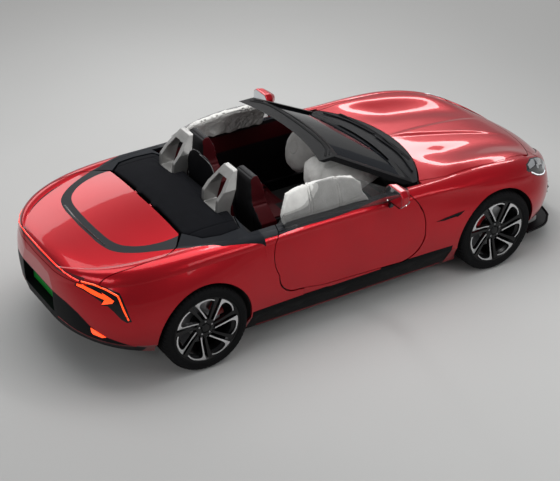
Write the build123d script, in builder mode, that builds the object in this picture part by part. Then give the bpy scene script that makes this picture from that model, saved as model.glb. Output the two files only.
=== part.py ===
"""Two-seat electric roadster with its soft top folded away, built as separate panels, wheels and cabin pieces.

Millimetres.  -Y is the nose, +Y the tail, +Z up, and the ground is z = 0 midway along the car.
"""

import os
from math import cos, radians, sin

from build123d import *

# ---- driving dimensions -------------------------------------------------------------------------
LENGTH = 4535.0
FRONT_OVERHANG = 925.0
WHEELBASE = 2690.0
NOSE_Y = -LENGTH / 2
TAIL_Y = LENGTH / 2
FRONT_AXLE_Y = NOSE_Y + FRONT_OVERHANG
REAR_AXLE_Y = FRONT_AXLE_Y + WHEELBASE

SKIN = 20.0  # thickness of the fixed outer panels
PANEL_GAP = 5.5  # shut line round every panel that opens
SEAT_GAP = 0.3  # clearance where two curved or soft pieces rest on each other

TYRE_R = 352.0
TYRE_W_FRONT = 245.0
TYRE_W_REAR = 275.0
RIM_R = 270.0
TREAD_X = 796.0  # wheel centre plane from the car's centre plane
ARCH_R = 388.0
LINER_WALL = 6.0
STEER_LIMIT = 35.0

FLOOR_TOP = 268.0
FLOOR_WALL = 18.0
BATTERY_BOTTOM = 158.0
BATTERY_HALF = 690.0
DOOR_INNER_X = 770.0
GLASS_WALL = 5.0
SILL_TOP = 360.0
SILL_INNER_X = 745.0
SILL_FRONT_Y = -905.0
SILL_REAR_Y = 950.0
BULKHEAD_Y = 850.0
FAR = 1200.0  # a half width beyond everything

CORNER_BULGE = 0.24  # height of the shoulder arc as a share of its chord

# body sections, nose to tail.  x values are half widths; y runs along the car, z up from the ground.
# y, floor z, floor x, low side (x, z), widest (x, z), shoulder (x, z), crown (x, z), centre top z
BODY_STATIONS = [
    (NOSE_Y, 330, 200, 250, 380, 300, 450, 260, 520, 190, 550, 566),
    (FRONT_AXLE_Y - 700, 190, 520, 640, 310, 692, 440, 632, 640, 500, 700, 722),
    (FRONT_AXLE_Y - 350, 160, 720, 865, 310, 905, 500, 840, 745, 700, 838, 822),
    (FRONT_AXLE_Y, 142, 780, 905, 310, 940, 560, 888, 810, 765, 902, 885),
    (FRONT_AXLE_Y + 600, 130, 780, 890, 310, 918, 580, 884, 846, 785, 922, 958),
    (FRONT_AXLE_Y + 1450, 130, 780, 885, 310, 905, 600, 884, 880, 805, 955, 995),
    (REAR_AXLE_Y - 450, 134, 780, 895, 310, 926, 620, 884, 880, 800, 958, 1043),
    (REAR_AXLE_Y, 150, 780, 905, 320, 940, 650, 876, 868, 735, 968, 1038),
    (REAR_AXLE_Y + 370, 190, 740, 880, 330, 912, 655, 840, 850, 670, 940, 980),
    (REAR_AXLE_Y + 680, 260, 580, 740, 370, 778, 630, 700, 820, 530, 900, 924),
    (REAR_AXLE_Y + 850, 330, 360, 500, 405, 545, 600, 480, 790, 350, 868, 886),
    (TAIL_Y, 410, 190, 240, 470, 275, 600, 235, 715, 165, 765, 780),
]


def trace(start, *steps):
    """Closed face: a step (u, v) is a line, a step ((u, v), (u, v)) an arc by way of its first point."""
    with BuildLine(Plane.XY) as edge:
        at = start
        for step in steps:
            if isinstance(step[0], tuple):
                ThreePointArc(at, step[0], step[1])
                at = step[1]
            else:
                Line(at, step)
                at = step
        if at != start:
            Line(at, start)
    make_face(edge.edges())


def both_sides(points):
    """A right-hand outline from centre line to centre line, closed by its own mirror image."""
    return points + [(-x, y) for x, y in reversed(points) if x > 0]


def body_solid(inset):
    """The whole body envelope, pulled inwards by inset on every side."""
    with BuildPart() as hull:
        for y, zf, xf, xl, zl, xw, zw, xs, zs, xc, zc, zt in BODY_STATIONS:
            y_in = y + (inset if y == NOSE_Y else -inset if y == TAIL_Y else 0)
            low, side, high = (xl - inset, zl), (xw - inset, zw), (xs - inset, zs - inset * 0.3)
            crown, top = (xc - inset * 0.6, zc - inset), (0, zt - inset)
            corner = (
                (high[0] + crown[0]) / 2 + CORNER_BULGE * (crown[1] - high[1]),
                (high[1] + crown[1]) / 2 + CORNER_BULGE * (high[0] - crown[0]),
            )
            bottom = (xf - inset, zf + inset)
            with BuildSketch(Plane.XZ.offset(-y_in)):
                trace(
                    bottom,
                    low,
                    (side, high),
                    (corner, crown),
                    (top, (-crown[0], crown[1])),
                    ((-corner[0], corner[1]), (-high[0], high[1])),
                    ((-side[0], side[1]), (-low[0], low[1])),
                    (-bottom[0], bottom[1]),
                )
        loft()
    return hull.part


def side_prism(x_from, x_to, *outline):
    """A side-view outline in (y, z), carried across the car between two x values."""
    with BuildPart() as prism:
        with BuildSketch(Plane.YZ.offset(x_from)):
            trace(*outline)
        extrude(amount=x_to - x_from)
    return prism.part


def plan_prism(z_from, z_to, *outline):
    """A plan-view outline in (x, y), carried up between two z values."""
    with BuildPart() as prism:
        with BuildSketch(Plane.XY.offset(z_from)):
            trace(*outline)
        extrude(amount=z_to - z_from)
    return prism.part


def rear_prism(y_from, y_to, *outline):
    """A rear-view outline in (x, z), carried along the car between two y values."""
    with BuildPart() as prism:
        with BuildSketch(Plane.XZ.offset(-y_to)):
            trace(*outline)
        extrude(amount=y_to - y_from)
    return prism.part


def cut(body, keep=(), drop=()):
    """The part of a body that lies in every keep solid and in no drop solid."""
    with BuildPart() as piece:
        add(body)
        for tool in keep:
            add(tool, mode=Mode.INTERSECT)
        for tool in drop:
            add(tool, mode=Mode.SUBTRACT)
    return piece.part


def mirrored(body):
    """The same piece on the other side of the car."""
    with BuildPart() as twin:
        mirror(body, about=Plane.YZ)
    return twin.part


def pair(body):
    """A piece and its mirror image, kept as two solids."""
    with BuildPart() as both:
        add(body)
        mirror(body, about=Plane.YZ)
    return both.part


os.makedirs("parts", exist_ok=True)


def write(name, part):
    part.label = name
    export_step(part, f"parts/{name}.step")


# ---- the body envelope and the shapes that divide it ---------------------------------------------
outer = body_solid(0)
shell = cut(outer, drop=[body_solid(SKIN)])
thick_shell = cut(outer, drop=[body_solid(2 * SKIN)])

# name, y of the axle, inboard end of the wheel arch, radius of the liner inside it
AXLES = [("front", FRONT_AXLE_Y, 470.0, 415.0), ("rear", REAR_AXLE_Y, 645.0, 394.0)]

with BuildPart() as arches:
    for _, axle_y, arch_x, _ in AXLES:
        for side in (1, -1):
            with BuildSketch(Plane.YZ.offset(side * arch_x)):
                with Locations((axle_y, TYRE_R)):
                    Circle(ARCH_R)
            extrude(amount=side * 600)

DOOR_REAR_Y = 716.0
DOOR_FRONT_Y = -437.0
DOOR_DRAFT = 40.0  # the rear cut leans in by this much across the door, so that the door can swing out
DOOR_TOP_Z = 1100.0
DOOR_SKIN_X = 930.0
DOOR_FRONT_GAP = 9.0
DOOR_FLOOR_GAP = 12.0
DOOR_REAR_GAP = 7.0


def door_prism(shrink):
    """The right door opening as a plug: its outline outside, drawn in towards the cabin."""
    front, floor = shrink * DOOR_FRONT_GAP / PANEL_GAP, shrink * DOOR_FLOOR_GAP / PANEL_GAP
    slope = DOOR_DRAFT / (DOOR_SKIN_X - DOOR_INNER_X)
    with BuildPart() as plug:
        for x in (DOOR_SKIN_X + 80, DOOR_INNER_X):
            rear = DOOR_REAR_Y - slope * (DOOR_SKIN_X - x) - shrink * DOOR_REAR_GAP / PANEL_GAP
            with BuildSketch(Plane.YZ.offset(-x)):
                trace(
                    (rear, DOOR_TOP_Z),
                    (rear, 943),
                    ((rear + 52, 800), (rear + 12, 612)),
                    ((rear - 36, 470 + floor), (rear - 164, 425 + floor)),
                    (rear - 381, 382 + floor),
                    (DOOR_FRONT_Y + 41, 345 + floor),
                    ((DOOR_FRONT_Y - 123 + front, 410 + floor), (DOOR_FRONT_Y - 185 + front, 590)),
                    ((DOOR_FRONT_Y - 163 + front, 760), (DOOR_FRONT_Y - 96 + front, 874)),
                    (DOOR_FRONT_Y + front, 986),
                    (DOOR_FRONT_Y + front, DOOR_TOP_Z),
                )
        loft(ruled=True)
    return plug.part


door_openings = pair(door_prism(0))

HOOD_HORN = (728, -652)
LID_BOTTOM_Z = 812.0
LID_SIDE_GAP = 7.0
# plan views from the centre line round the right-hand side and back: x half width, y
LID_PLAN = [(0, 1354), (570, 1350), (686, 1448), (742, 1569), (735, 1700), (716, 1848), (650, 2100)]
LID_PLAN += [(560, 2400), (0, 2400)]
DECK_PLAN = [(0, 820), (FAR, 820), (885, 830), (830, 1150), (745, 1290), (686, 1448), (570, 1350), (0, 1354)]
SOFT_TOP_PLAN = [(0, 900), (560, 900), (700, 930), (715, 1100), (690, 1240), (570, 1350), (0, 1354)]


def hood_prism(gap):
    """The hood opening, or with a gap the hood inside it: bowed rear edge, long sides and rounded front."""
    horn_x, horn_y = HOOD_HORN
    with BuildPart() as prism:
        with BuildSketch(Plane.XY.offset(500)):
            trace(
                (-horn_x + gap, horn_y - 3.8 * gap),
                ((0, -895 - gap), (horn_x - gap, horn_y - 3.8 * gap)),
                (766 - gap, -900),
                (756 - gap, -1370),
                (724 - gap, -1539),
                (643 - gap, -1842 + gap),
                ((0, -2070 + gap), (gap - 643, -1842 + gap)),
                (gap - 724, -1539),
                (gap - 756, -1370),
                (gap - 766, -900),
            )
        extrude(amount=600)
    return prism.part


LID_FRONT_EDGE = [(0, 1387), (563, 1372), (679, 1457)]


def lid_inside():
    """The lid's own outline: the opening drawn in by its shut lines."""
    return LID_FRONT_EDGE + [(max(x - LID_SIDE_GAP, 0), y) for x, y in LID_PLAN[3:]]


hood_opening = hood_prism(0)
lid_opening = plan_prism(LID_BOTTOM_Z, 1100, *both_sides(LID_PLAN))


def light_bar_zone(clearance):
    """The slot for the lamp across the lid's rear edge."""
    half, low, high = 560 + clearance, 838 - clearance, 864 + clearance
    return rear_prism(2120, 2400, (-half, low), (half, low), (half, high), (-half, high))


deck_zone = plan_prism(800, 1200, *both_sides(DECK_PLAN))
soft_top_zone = plan_prism(800, 1200, *both_sides(SOFT_TOP_PLAN))
cowl_zone = plan_prism(
    780, 1100, (-HOOD_HORN[0], HOOD_HORN[1]), ((0, -895), HOOD_HORN), (735, -560), ((0, -668), (-735, -560))
)
cabin = plan_prism(
    FLOOR_TOP, 1400, (-DOOR_INNER_X, -670), (DOOR_INNER_X, -670), (DOOR_INNER_X, 900), (-DOOR_INNER_X, 900)
)
tray_zone = plan_prism(0, FLOOR_TOP - FLOOR_WALL, (-640, -2120), (640, -2120), (640, 2100), (-640, 2100))
front_bumper_zone = side_prism(
    -FAR, FAR, (-2400, 50), (-1650, 50), (-1650, 590), (-1925, 640), (-2010, 790), (-2400, 790)
)
headlamp_zone = pair(
    side_prism(-FAR, -500, (-1735, 668), ((-1850, 700), (-1962, 652)), (-1975, 690), ((-1880, 800), (-1735, 815)))
)
rear_bumper_zone = side_prism(
    -FAR, FAR, (2400, 50), (1640, 50), (1640, 560), (1935, 600), (2040, 770), (2090, LID_BOTTOM_Z), (2400, LID_BOTTOM_Z)
)
tail_lamp_zone = pair(
    rear_prism(1870, 2300, (437, 755), (520, 812), (650, 812), (960, 912), (960, 600), (850, 600), (800, 735),
               (600, 735))
)
POCKET_HALF = 262.0
POCKET_LOW = 462.0
POCKET_HIGH = 637.0
POCKET_BACK_Y = 2200.0
POCKET_WALL = 14.0
POCKET_LIP = 8.0
PLATE_WIDE = 480.0
PLATE_TALL = 140.0
PLATE_THICK = 3.0
PLATE_MARGIN = 10.0


def plate_pocket(wall, lip):
    """The number plate's pocket in the tail, or the tray round it when it is given walls."""
    half = POCKET_HALF + wall
    return rear_prism(
        POCKET_BACK_Y - wall, 2400, (-half, POCKET_LOW - wall), (half, POCKET_LOW - wall), (half, POCKET_HIGH + lip),
        (-half, POCKET_HIGH + lip)
    )


with BuildPart() as lower_tail:
    add(
        side_prism(
            -FAR, FAR, (2400, 50), (1790, 50), (1790, 288), (2087, 436), (2152, 503), (2198, 578), (2234, 622),
            (2268, POCKET_HIGH + POCKET_LIP), (2400, POCKET_HIGH + POCKET_LIP)
        )
    )
    add(plate_pocket(POCKET_WALL, POCKET_LIP))
diffuser_zone = lower_tail.part
sill_zone = plan_prism(
    0, SILL_TOP, (-FAR, SILL_FRONT_Y), (FAR, SILL_FRONT_Y), (FAR, SILL_REAR_Y), (-FAR, SILL_REAR_Y)
)
between_sills = plan_prism(
    0, 900, (-SILL_INNER_X, -1000), (SILL_INNER_X, -1000), (SILL_INNER_X, 1000), (-SILL_INNER_X, 1000)
)
front_zone = plan_prism(0, 1100, (-FAR, -2400), (FAR, -2400), (FAR, DOOR_FRONT_Y), (-FAR, DOOR_FRONT_Y))
rear_zone = plan_prism(0, 1100, (-FAR, 500), (FAR, 500), (FAR, 2400), (-FAR, 2400))

# ---- pivots of the hood and the lid, on the panels beside them ------------------------------------
PIVOT_R = 4.0
BALL_GAP = 0.3
HOOD_AXIS = (-686.0, 918.5)  # y, z


def hood_pivots(clearance):
    """Two cross pins at the hood's rear corners, or with a clearance the holes they turn in."""
    with BuildPart() as pins:
        for side in (1, -1):
            with BuildSketch(Plane.YZ.offset(side * (702 - clearance))):
                with Locations(HOOD_AXIS):
                    Circle(PIVOT_R + clearance)
            extrude(amount=side * (50 + clearance))
    return pins.part


LID_AXIS = (1370.0, 1016.0)
LID_HINGE_X = 120.0
BARREL_R = 7.5
SLEEVE_HALF = 15.5
EAR_WALL = 16.0


def lid_sleeves():
    """The lid's two hinge barrels with the leaves that carry them."""
    axis_y, axis_z = LID_AXIS
    with BuildPart() as sleeves:
        for side in (1, -1):
            with BuildSketch(Plane.YZ.offset(side * (LID_HINGE_X - SLEEVE_HALF))):
                trace(
                    (axis_y, axis_z - BARREL_R), (axis_y + 32, axis_z - 8), (axis_y + 32, axis_z + 6),
                    (axis_y, axis_z + BARREL_R),
                )
                with Locations(LID_AXIS):
                    Circle(BARREL_R)
                    Circle(PIVOT_R + BALL_GAP, mode=Mode.SUBTRACT)
            extrude(amount=side * 2 * SLEEVE_HALF)
    return sleeves.part


def lid_ears():
    """The fixed ears on both sides of each barrel, with the pin between them."""
    axis_y, axis_z = LID_AXIS
    near = SLEEVE_HALF + BALL_GAP
    with BuildPart() as ears:
        for side in (1, -1):
            for x in (LID_HINGE_X - near - EAR_WALL, LID_HINGE_X + near):
                with BuildSketch(Plane.YZ.offset(side * x)):
                    trace(
                        (axis_y, axis_z - BARREL_R), (axis_y, axis_z + BARREL_R), (axis_y - 36, axis_z + 5),
                        (axis_y - 36, axis_z - 16),
                    )
                    with Locations(LID_AXIS):
                        Circle(BARREL_R)
                extrude(amount=side * EAR_WALL)
            with BuildSketch(Plane.YZ.offset(side * (LID_HINGE_X - near))):
                with Locations(LID_AXIS):
                    Circle(PIVOT_R)
            extrude(amount=side * 2 * near)
    return ears.part


# ---- body panels --------------------------------------------------------------------------------
open_shell = cut(shell, drop=[arches.part, door_openings])
fender_zone = cut(
    front_zone,
    drop=[front_bumper_zone, headlamp_zone, hood_opening, sill_zone, tray_zone, cowl_zone, cabin],
)
quarter_zone = cut(
    rear_zone,
    drop=[rear_bumper_zone, tail_lamp_zone, lid_opening, sill_zone, tray_zone, deck_zone, cabin],
)
with BuildPart() as front_fenders:
    add(cut(open_shell, keep=[fender_zone]))
    add(hood_pivots(0))
write("front_fenders", front_fenders.part)
write("rear_quarters", cut(open_shell, keep=[quarter_zone]))
write("front_bumper", cut(open_shell, keep=[cut(front_bumper_zone, drop=[hood_opening, tray_zone])]))
write(
    "rear_bumper",
    cut(open_shell, keep=[cut(rear_bumper_zone, drop=[lid_opening, tail_lamp_zone, diffuser_zone, tray_zone])]),
)
with BuildPart() as rear_diffuser:
    add(cut(open_shell, keep=[cut(diffuser_zone, drop=[tray_zone])]))
    add(cut(plate_pocket(POCKET_WALL, POCKET_LIP), keep=[body_solid(SKIN / 2)]))
    add(plate_pocket(0, 0), mode=Mode.SUBTRACT)
write("rear_diffuser", rear_diffuser.part)
with BuildPart() as number_plate:
    with BuildSketch(Plane.XZ.offset(-POCKET_BACK_Y)):
        with Locations((0, POCKET_LOW + PLATE_MARGIN + PLATE_TALL / 2)):
            RectangleRounded(PLATE_WIDE, PLATE_TALL, 8)
    extrude(amount=-PLATE_THICK)
write("number_plate", number_plate.part)
axle_bays = plan_prism(
    0, 400, (-700, FRONT_AXLE_Y - 190), (700, FRONT_AXLE_Y - 190), (700, REAR_AXLE_Y + 190), (-700, REAR_AXLE_Y + 190)
)
write("undertray", cut(open_shell, keep=[tray_zone], drop=[axle_bays]))
write("cowl", cut(shell, keep=[cowl_zone]))
write("rear_deck", cut(shell, keep=[cut(deck_zone, drop=[soft_top_zone, cabin])]))
write("hood", cut(shell, keep=[hood_prism(PANEL_GAP)], drop=[hood_pivots(BALL_GAP)]))
lid_zone = plan_prism(LID_BOTTOM_Z + PANEL_GAP, 1100, *both_sides(lid_inside()))
with BuildPart() as boot_lid:
    add(cut(shell, keep=[lid_zone], drop=[light_bar_zone(SEAT_GAP)]))
    add(lid_sleeves())
write("boot_lid", boot_lid.part)
write("light_bar", cut(shell, keep=[light_bar_zone(0)]))
write("headlamps", cut(thick_shell, keep=[cut(headlamp_zone, drop=[front_bumper_zone, hood_opening])]))
write("tail_lamps", cut(thick_shell, keep=[cut(tail_lamp_zone, drop=[lid_opening])]))
write("side_skirts", cut(outer, keep=[cut(sill_zone, drop=[between_sills, door_openings, arches.part])]))

# ---- floor, bulkheads and heavy block ------------------------------------------------------------
JACK_X = 680.0
JACK_Y = 620.0
JACK_PAD_WIDE = 70.0
JACK_PAD_LONG = 90.0
JACK_PAD_TALL = 14.0
with BuildPart() as battery_pack:
    with BuildSketch(Plane.XY.offset(BATTERY_BOTTOM)):
        Rectangle(2 * BATTERY_HALF - 140, 1700)
    extrude(amount=FLOOR_TOP - FLOOR_WALL - BATTERY_BOTTOM)

with BuildPart() as floor_pan:
    with BuildSketch(Plane.XY.offset(FLOOR_TOP - FLOOR_WALL)):
        Rectangle(2 * SILL_INNER_X, SILL_REAR_Y - SILL_FRONT_Y)
    extrude(amount=FLOOR_WALL)
    with BuildSketch(Plane.XY.offset(FLOOR_TOP - FLOOR_WALL - JACK_PAD_TALL)):
        with GridLocations(2 * JACK_X, 2 * JACK_Y, 2, 2):
            Rectangle(JACK_PAD_WIDE, JACK_PAD_LONG)
    extrude(amount=JACK_PAD_TALL)
write("battery_pack", battery_pack.part)
write("floor_pan", floor_pan.part)

FIREWALL_Y = -715.0
FIREWALL_TOP = 888.0
with BuildPart() as firewall:
    with BuildSketch(Plane.XZ.offset(-FIREWALL_Y)):
        trace(
            (-SILL_INNER_X, FLOOR_TOP), (SILL_INNER_X, FLOOR_TOP), (SILL_INNER_X, SILL_TOP),
            (DOOR_INNER_X, SILL_TOP), (DOOR_INNER_X, FIREWALL_TOP), (-DOOR_INNER_X, FIREWALL_TOP),
            (-DOOR_INNER_X, SILL_TOP),
            (-SILL_INNER_X, SILL_TOP),
        )
    extrude(amount=20)
inner_space = body_solid(SKIN + SEAT_GAP)
write("firewall", firewall.part)

SHELF_Z = 930.0
with BuildPart() as rear_bulkhead:
    with BuildSketch(Plane.YZ.offset(-SILL_INNER_X)):
        trace(
            (BULKHEAD_Y, FLOOR_TOP), (BULKHEAD_Y + 25, FLOOR_TOP), (BULKHEAD_Y + 25, SHELF_Z - 20),
            (1020, SHELF_Z - 20), (1020, SHELF_Z), (BULKHEAD_Y, SHELF_Z),
        )
    extrude(amount=2 * SILL_INNER_X)
write("rear_bulkhead", rear_bulkhead.part)

# ---- doors --------------------------------------------------------------------------------------
GLASS_BOTTOM_Z = 880.0
# cross-section of the side glass, bottom to top: half width, z
GLASS_CURVE = [(872, GLASS_BOTTOM_Z), (798, 1070), (690, 1200)]
GLASS_FRONT_Y = -395.0
GLASS_REAR_Y = 690.0


def side_glass_band(clearance):
    """The right side glass as a curved band all along the car."""
    with BuildPart() as band:
        with BuildSketch(Plane.XZ.offset(-800)):
            (x0, z0), (x1, z1), (x2, z2) = GLASS_CURVE
            out = clearance
            into = GLASS_WALL + clearance
            trace(
                (-x0 - out, z0 - out),
                ((-x1 - out, z1), (-x2 - out, z2)),
                (-x2 + into, z2),
                ((-x1 + into, z1 - 3), (-x0 + into, z0 - out)),
            )
        extrude(amount=1400)
    return band.part


cabin_side = plan_prism(
    0, 1400, (-DOOR_INNER_X, -2000), (DOOR_INNER_X, -2000), (DOOR_INNER_X, 2000), (-DOOR_INNER_X, 2000)
)
DOOR_AXIS = (-888.0, -500.0)  # x, y of the right door's upright hinge line
HINGE_HEIGHTS = [500.0, 790.0]
HINGE_TALL = 30.0
HINGE_PIN_R = 7.0
EYE_R = 14.0
HINGE_ROOM = 7.0

with BuildPart() as hinge_pockets:
    for z in HINGE_HEIGHTS:
        with BuildSketch(Plane.XY.offset(z - HINGE_TALL / 2 - HINGE_ROOM)):
            trace((-904, -640), (-740, -640), (-740, -476), (-904, -476))
            with Locations(DOOR_AXIS):
                Circle(HINGE_PIN_R, mode=Mode.SUBTRACT)
        extrude(amount=HINGE_TALL + 2 * HINGE_ROOM)
door_right = cut(
    outer,
    keep=[door_prism(PANEL_GAP)],
    drop=[cabin_side, side_glass_band(SEAT_GAP), hinge_pockets.part],
)
write("door_right", door_right)
write("door_left", mirrored(door_right))

with BuildPart() as hinge_arms:
    for z in HINGE_HEIGHTS:
        with BuildSketch(Plane.XY.offset(z - HINGE_TALL / 2)):
            trace(
                (-888, -512), (-760, -512), (-746, -530), (-746, FIREWALL_Y), (-722, FIREWALL_Y), (-722, -500),
                (-734, -488), (-888, -488),
            )
            with Locations(DOOR_AXIS):
                Circle(EYE_R)
                Circle(HINGE_PIN_R + BALL_GAP, mode=Mode.SUBTRACT)
        extrude(amount=HINGE_TALL)
write("door_hinges", pair(hinge_arms.part))

with BuildPart() as glass_outline:
    with BuildSketch(Plane.YZ.offset(-1000)):
        trace(
            (GLASS_FRONT_Y, GLASS_BOTTOM_Z),
            (GLASS_FRONT_Y, 975),
            (-60, 1132),
            ((269, 1181), (594, 1072)),
            (GLASS_REAR_Y, 1000),
            (GLASS_REAR_Y - 60, 985),
            (GLASS_REAR_Y - 60, GLASS_BOTTOM_Z),
        )
    extrude(amount=400)
door_glass_right = cut(side_glass_band(0), keep=[glass_outline.part])
write("door_glass_right", door_glass_right)
write("door_glass_left", mirrored(door_glass_right))

MIRROR_Y = -290.0
MIRROR_X = 985.0
MIRROR_Z = 1032.0
with BuildPart() as mirror_right:
    for y, w, h in ((-75, 90, 60), (-20, 200, 130), (45, 225, 148)):
        with BuildSketch(Plane.XZ.offset(-MIRROR_Y - y)):
            with Locations((-MIRROR_X, MIRROR_Z)):
                Rectangle(w, h)
            chamfer(vertices(), h * 0.25)
    loft(ruled=True)
    with BuildSketch(Plane.XZ.offset(-MIRROR_Y)):
        trace((-908, 1010), (-940, 980), (-896, 880), (-872, 900))
    extrude(amount=22, both=True)
mirror_right = cut(mirror_right.part, drop=[outer, side_glass_band(1.0)])
write("mirror_right", mirror_right)
write("mirror_left", mirrored(mirror_right))

# ---- windscreen ---------------------------------------------------------------------------------
# z, half width, y at the ends, y in the middle
SCREEN_BASE = (935, 732, -606, -726)
SCREEN_TOP = (1285, 600, 45, -45)
PILLAR_W = 52.0
FRAME_DEPTH = 80.0


def screen_sheet(z_from, z_to, narrower, front, depth):
    """The raked, bowed windscreen between two heights, as a slab of the given depth along the car."""
    with BuildPart() as sheet:
        for z in (z_from, z_to):
            share = (z - SCREEN_BASE[0]) / (SCREEN_TOP[0] - SCREEN_BASE[0])
            half, end, middle = (a + (b - a) * share for a, b in zip(SCREEN_BASE[1:], SCREEN_TOP[1:]))
            half = half - narrower
            with BuildSketch(Plane.XY.offset(z)):
                trace(
                    (-half, end + front),
                    ((0, middle + front), (half, end + front)),
                    (half, end + front + depth),
                    ((0, middle + front + depth), (-half, end + front + depth)),
                )
        loft(ruled=True)
    return sheet.part


frame = cut(
    screen_sheet(SCREEN_BASE[0], SCREEN_TOP[0], 0, 0, FRAME_DEPTH),
    drop=[screen_sheet(SCREEN_BASE[0] + 22, SCREEN_TOP[0] - 22, PILLAR_W, -90, 300)],
)
with BuildPart() as windscreen_frame:
    add(frame)
    add(screen_sheet(SCREEN_TOP[0] - 22, SCREEN_TOP[0], 0, 0, FRAME_DEPTH + 60))
write("windscreen_frame", cut(windscreen_frame.part, drop=[outer]))
screen_pane = screen_sheet(
    SCREEN_BASE[0] + 22 + SEAT_GAP, SCREEN_TOP[0] - 22 - SEAT_GAP, PILLAR_W + SEAT_GAP, FRAME_DEPTH / 3, 12
)
write("windscreen_glass", cut(screen_pane, drop=[outer]))

# ---- wheels -------------------------------------------------------------------------------------
SPOKES = 7
FIRST_SPOKE = 69.0  # degrees from level, as seen on the right side
HUB_R = 72.0
BORE_R = 22.0
DISC_R = 180.0
DISC_IN = -30.0  # inboard face of the brake disc, from the wheel's centre plane
DISC_OUT = -6.0
BRAKE_GAP = 6.0
# straight spoke and swept return spoke of one motif: along the spoke, across it
SPOKE_OUTLINES = [
    [(HUB_R - 14, -27), (RIM_R - 36, 6), (RIM_R - 34, -22), (HUB_R - 14, -42)],
    [(HUB_R - 34, -40), (184, -145), (164, -169), (HUB_R - 44, -54)],
]
SPOKE_THICK = 24.0


def rim_body(width):
    """Wheel rim with its spokes, hub and brake disc, round local Z with the outer face up."""
    half = width / 2
    face = half - 15
    with BuildPart() as rim:
        with BuildSketch(Plane.XZ):
            trace(
                (RIM_R, half - 10), (RIM_R - 34, half - 50), (RIM_R - 34, 44 - half), (RIM_R, 10 - half),
                (RIM_R - 14, 10 - half), (RIM_R - 42, 42 - half), (RIM_R - 42, half - 50),
                (RIM_R - 14, half - 10),
            )
        revolve(axis=Axis.Z)
        with BuildSketch(Plane.XY.offset(face - 24 - SPOKE_THICK)):
            for outline in SPOKE_OUTLINES:
                with PolarLocations(0, SPOKES, start_angle=-FIRST_SPOKE):
                    Polygon(*outline, align=None)
        extrude(amount=SPOKE_THICK)
        with BuildSketch(Plane.XZ):
            trace(
                (0, face - 20), (HUB_R - 16, face - 20), (HUB_R, face - 32), (HUB_R, DISC_OUT),
                (DISC_R, DISC_OUT), (DISC_R, DISC_IN), (BORE_R, DISC_IN), (BORE_R, 30), (0, 30),
            )
        revolve(axis=Axis.Z)
    return rim.part


def tyre_body(radius, width):
    """Tyre on its bead seats, round local Z."""
    half = width / 2
    with BuildPart() as tyre:
        with BuildSketch(Plane.XZ):
            shoulder = [
                (RIM_R + SEAT_GAP, half - 10), (RIM_R + 30, half), (radius - 26, half - 6), (radius - 10, half - 18),
                (radius, half - 42),
            ]
            trace(*shoulder, *[(r, -z) for r, z in reversed(shoulder)])
        revolve(axis=Axis.Z)
    return tyre.part


WHEEL_WIDTHS = {"front": TYRE_W_FRONT, "rear": TYRE_W_REAR}
for name, axle_y, _, _ in AXLES:
    place = Plane((-TREAD_X, axle_y, TYRE_R), x_dir=(0, 1, 0), z_dir=(-1, 0, 0)).location
    rim_right = place * rim_body(WHEEL_WIDTHS[name])
    tyre_right = place * tyre_body(TYRE_R, WHEEL_WIDTHS[name])
    write(f"rim_{name}_right", rim_right)
    write(f"tyre_{name}_right", tyre_right)
    write(f"rim_{name}_left", mirrored(rim_right))
    write(f"tyre_{name}_left", mirrored(tyre_right))

with BuildPart() as wheel_liners:
    for _, axle_y, arch_x, liner_r in AXLES:
        with BuildSketch(Plane.YZ.offset(arch_x)):
            with Locations((axle_y, TYRE_R)):
                Circle(liner_r)
                Circle(liner_r - LINER_WALL, mode=Mode.SUBTRACT)
                with Locations((0, -liner_r - 90)):
                    Rectangle(2 * liner_r, 2 * liner_r, mode=Mode.SUBTRACT)
        extrude(amount=500)
write("wheel_liners", pair(cut(wheel_liners.part, keep=[inner_space])))

# ---- suspension and drive -----------------------------------------------------------------------
KINGPIN_X = TREAD_X - 56.0
JOINT_RISE = 150.0  # ball joints above and below the wheel centre
ARM_WALL = 22.0
PIN_R = 10.0
# name, half width of the arm along the car, x of the outer end, shape inboard
LOWER_ARM = [(300, 150), (480, 60), (KINGPIN_X + 12, 14)]
UPPER_ARM = [(420, 110), (520, 50), (KINGPIN_X + 12, 14)]


def arm_outline(points, axle_y):
    """Plan outline of one wishbone about its axle line."""
    return [(x, axle_y - y) for x, y in points] + [(x, axle_y + y) for x, y in reversed(points)]


def axle_body(axle_y):
    """Subframe with both towers and all four wishbones of one axle."""
    with BuildPart() as axle:
        with BuildSketch(Plane.XY.offset(TYRE_R - JOINT_RISE - ARM_WALL)):
            with Locations((0, axle_y)):
                Rectangle(620, 320)
        extrude(amount=60)
        toward = -1 if axle_y > 0 else 1
        for side in (1, -1):
            with BuildSketch(Plane.XY.offset(TYRE_R - JOINT_RISE - ARM_WALL)):
                with Locations((side * 270, (axle_y - toward * 850) / 2)):
                    Rectangle(60, abs(axle_y) - 850)
            extrude(amount=60)
            with BuildSketch(Plane.XY.offset(TYRE_R - JOINT_RISE - ARM_WALL)):
                with Locations((side * 435, axle_y)):
                    Rectangle(36, 210)
            extrude(amount=2 * (JOINT_RISE + ARM_WALL))
            for outline, z in (
                (LOWER_ARM, TYRE_R - JOINT_RISE - ARM_WALL - BALL_GAP),
                (UPPER_ARM, TYRE_R + JOINT_RISE + BALL_GAP),
            ):
                with BuildSketch(Plane.XY.offset(z)):
                    trace(*[(side * x, y) for x, y in arm_outline(outline, axle_y)])
                extrude(amount=ARM_WALL)
            for z, up in ((TYRE_R - JOINT_RISE - BALL_GAP, 1), (TYRE_R + JOINT_RISE + BALL_GAP, -1)):
                with BuildSketch(Plane.XY.offset(z)):
                    with Locations((side * KINGPIN_X, axle_y)):
                        Circle(PIN_R)
                extrude(amount=up * 20)
    return axle.part


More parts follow.
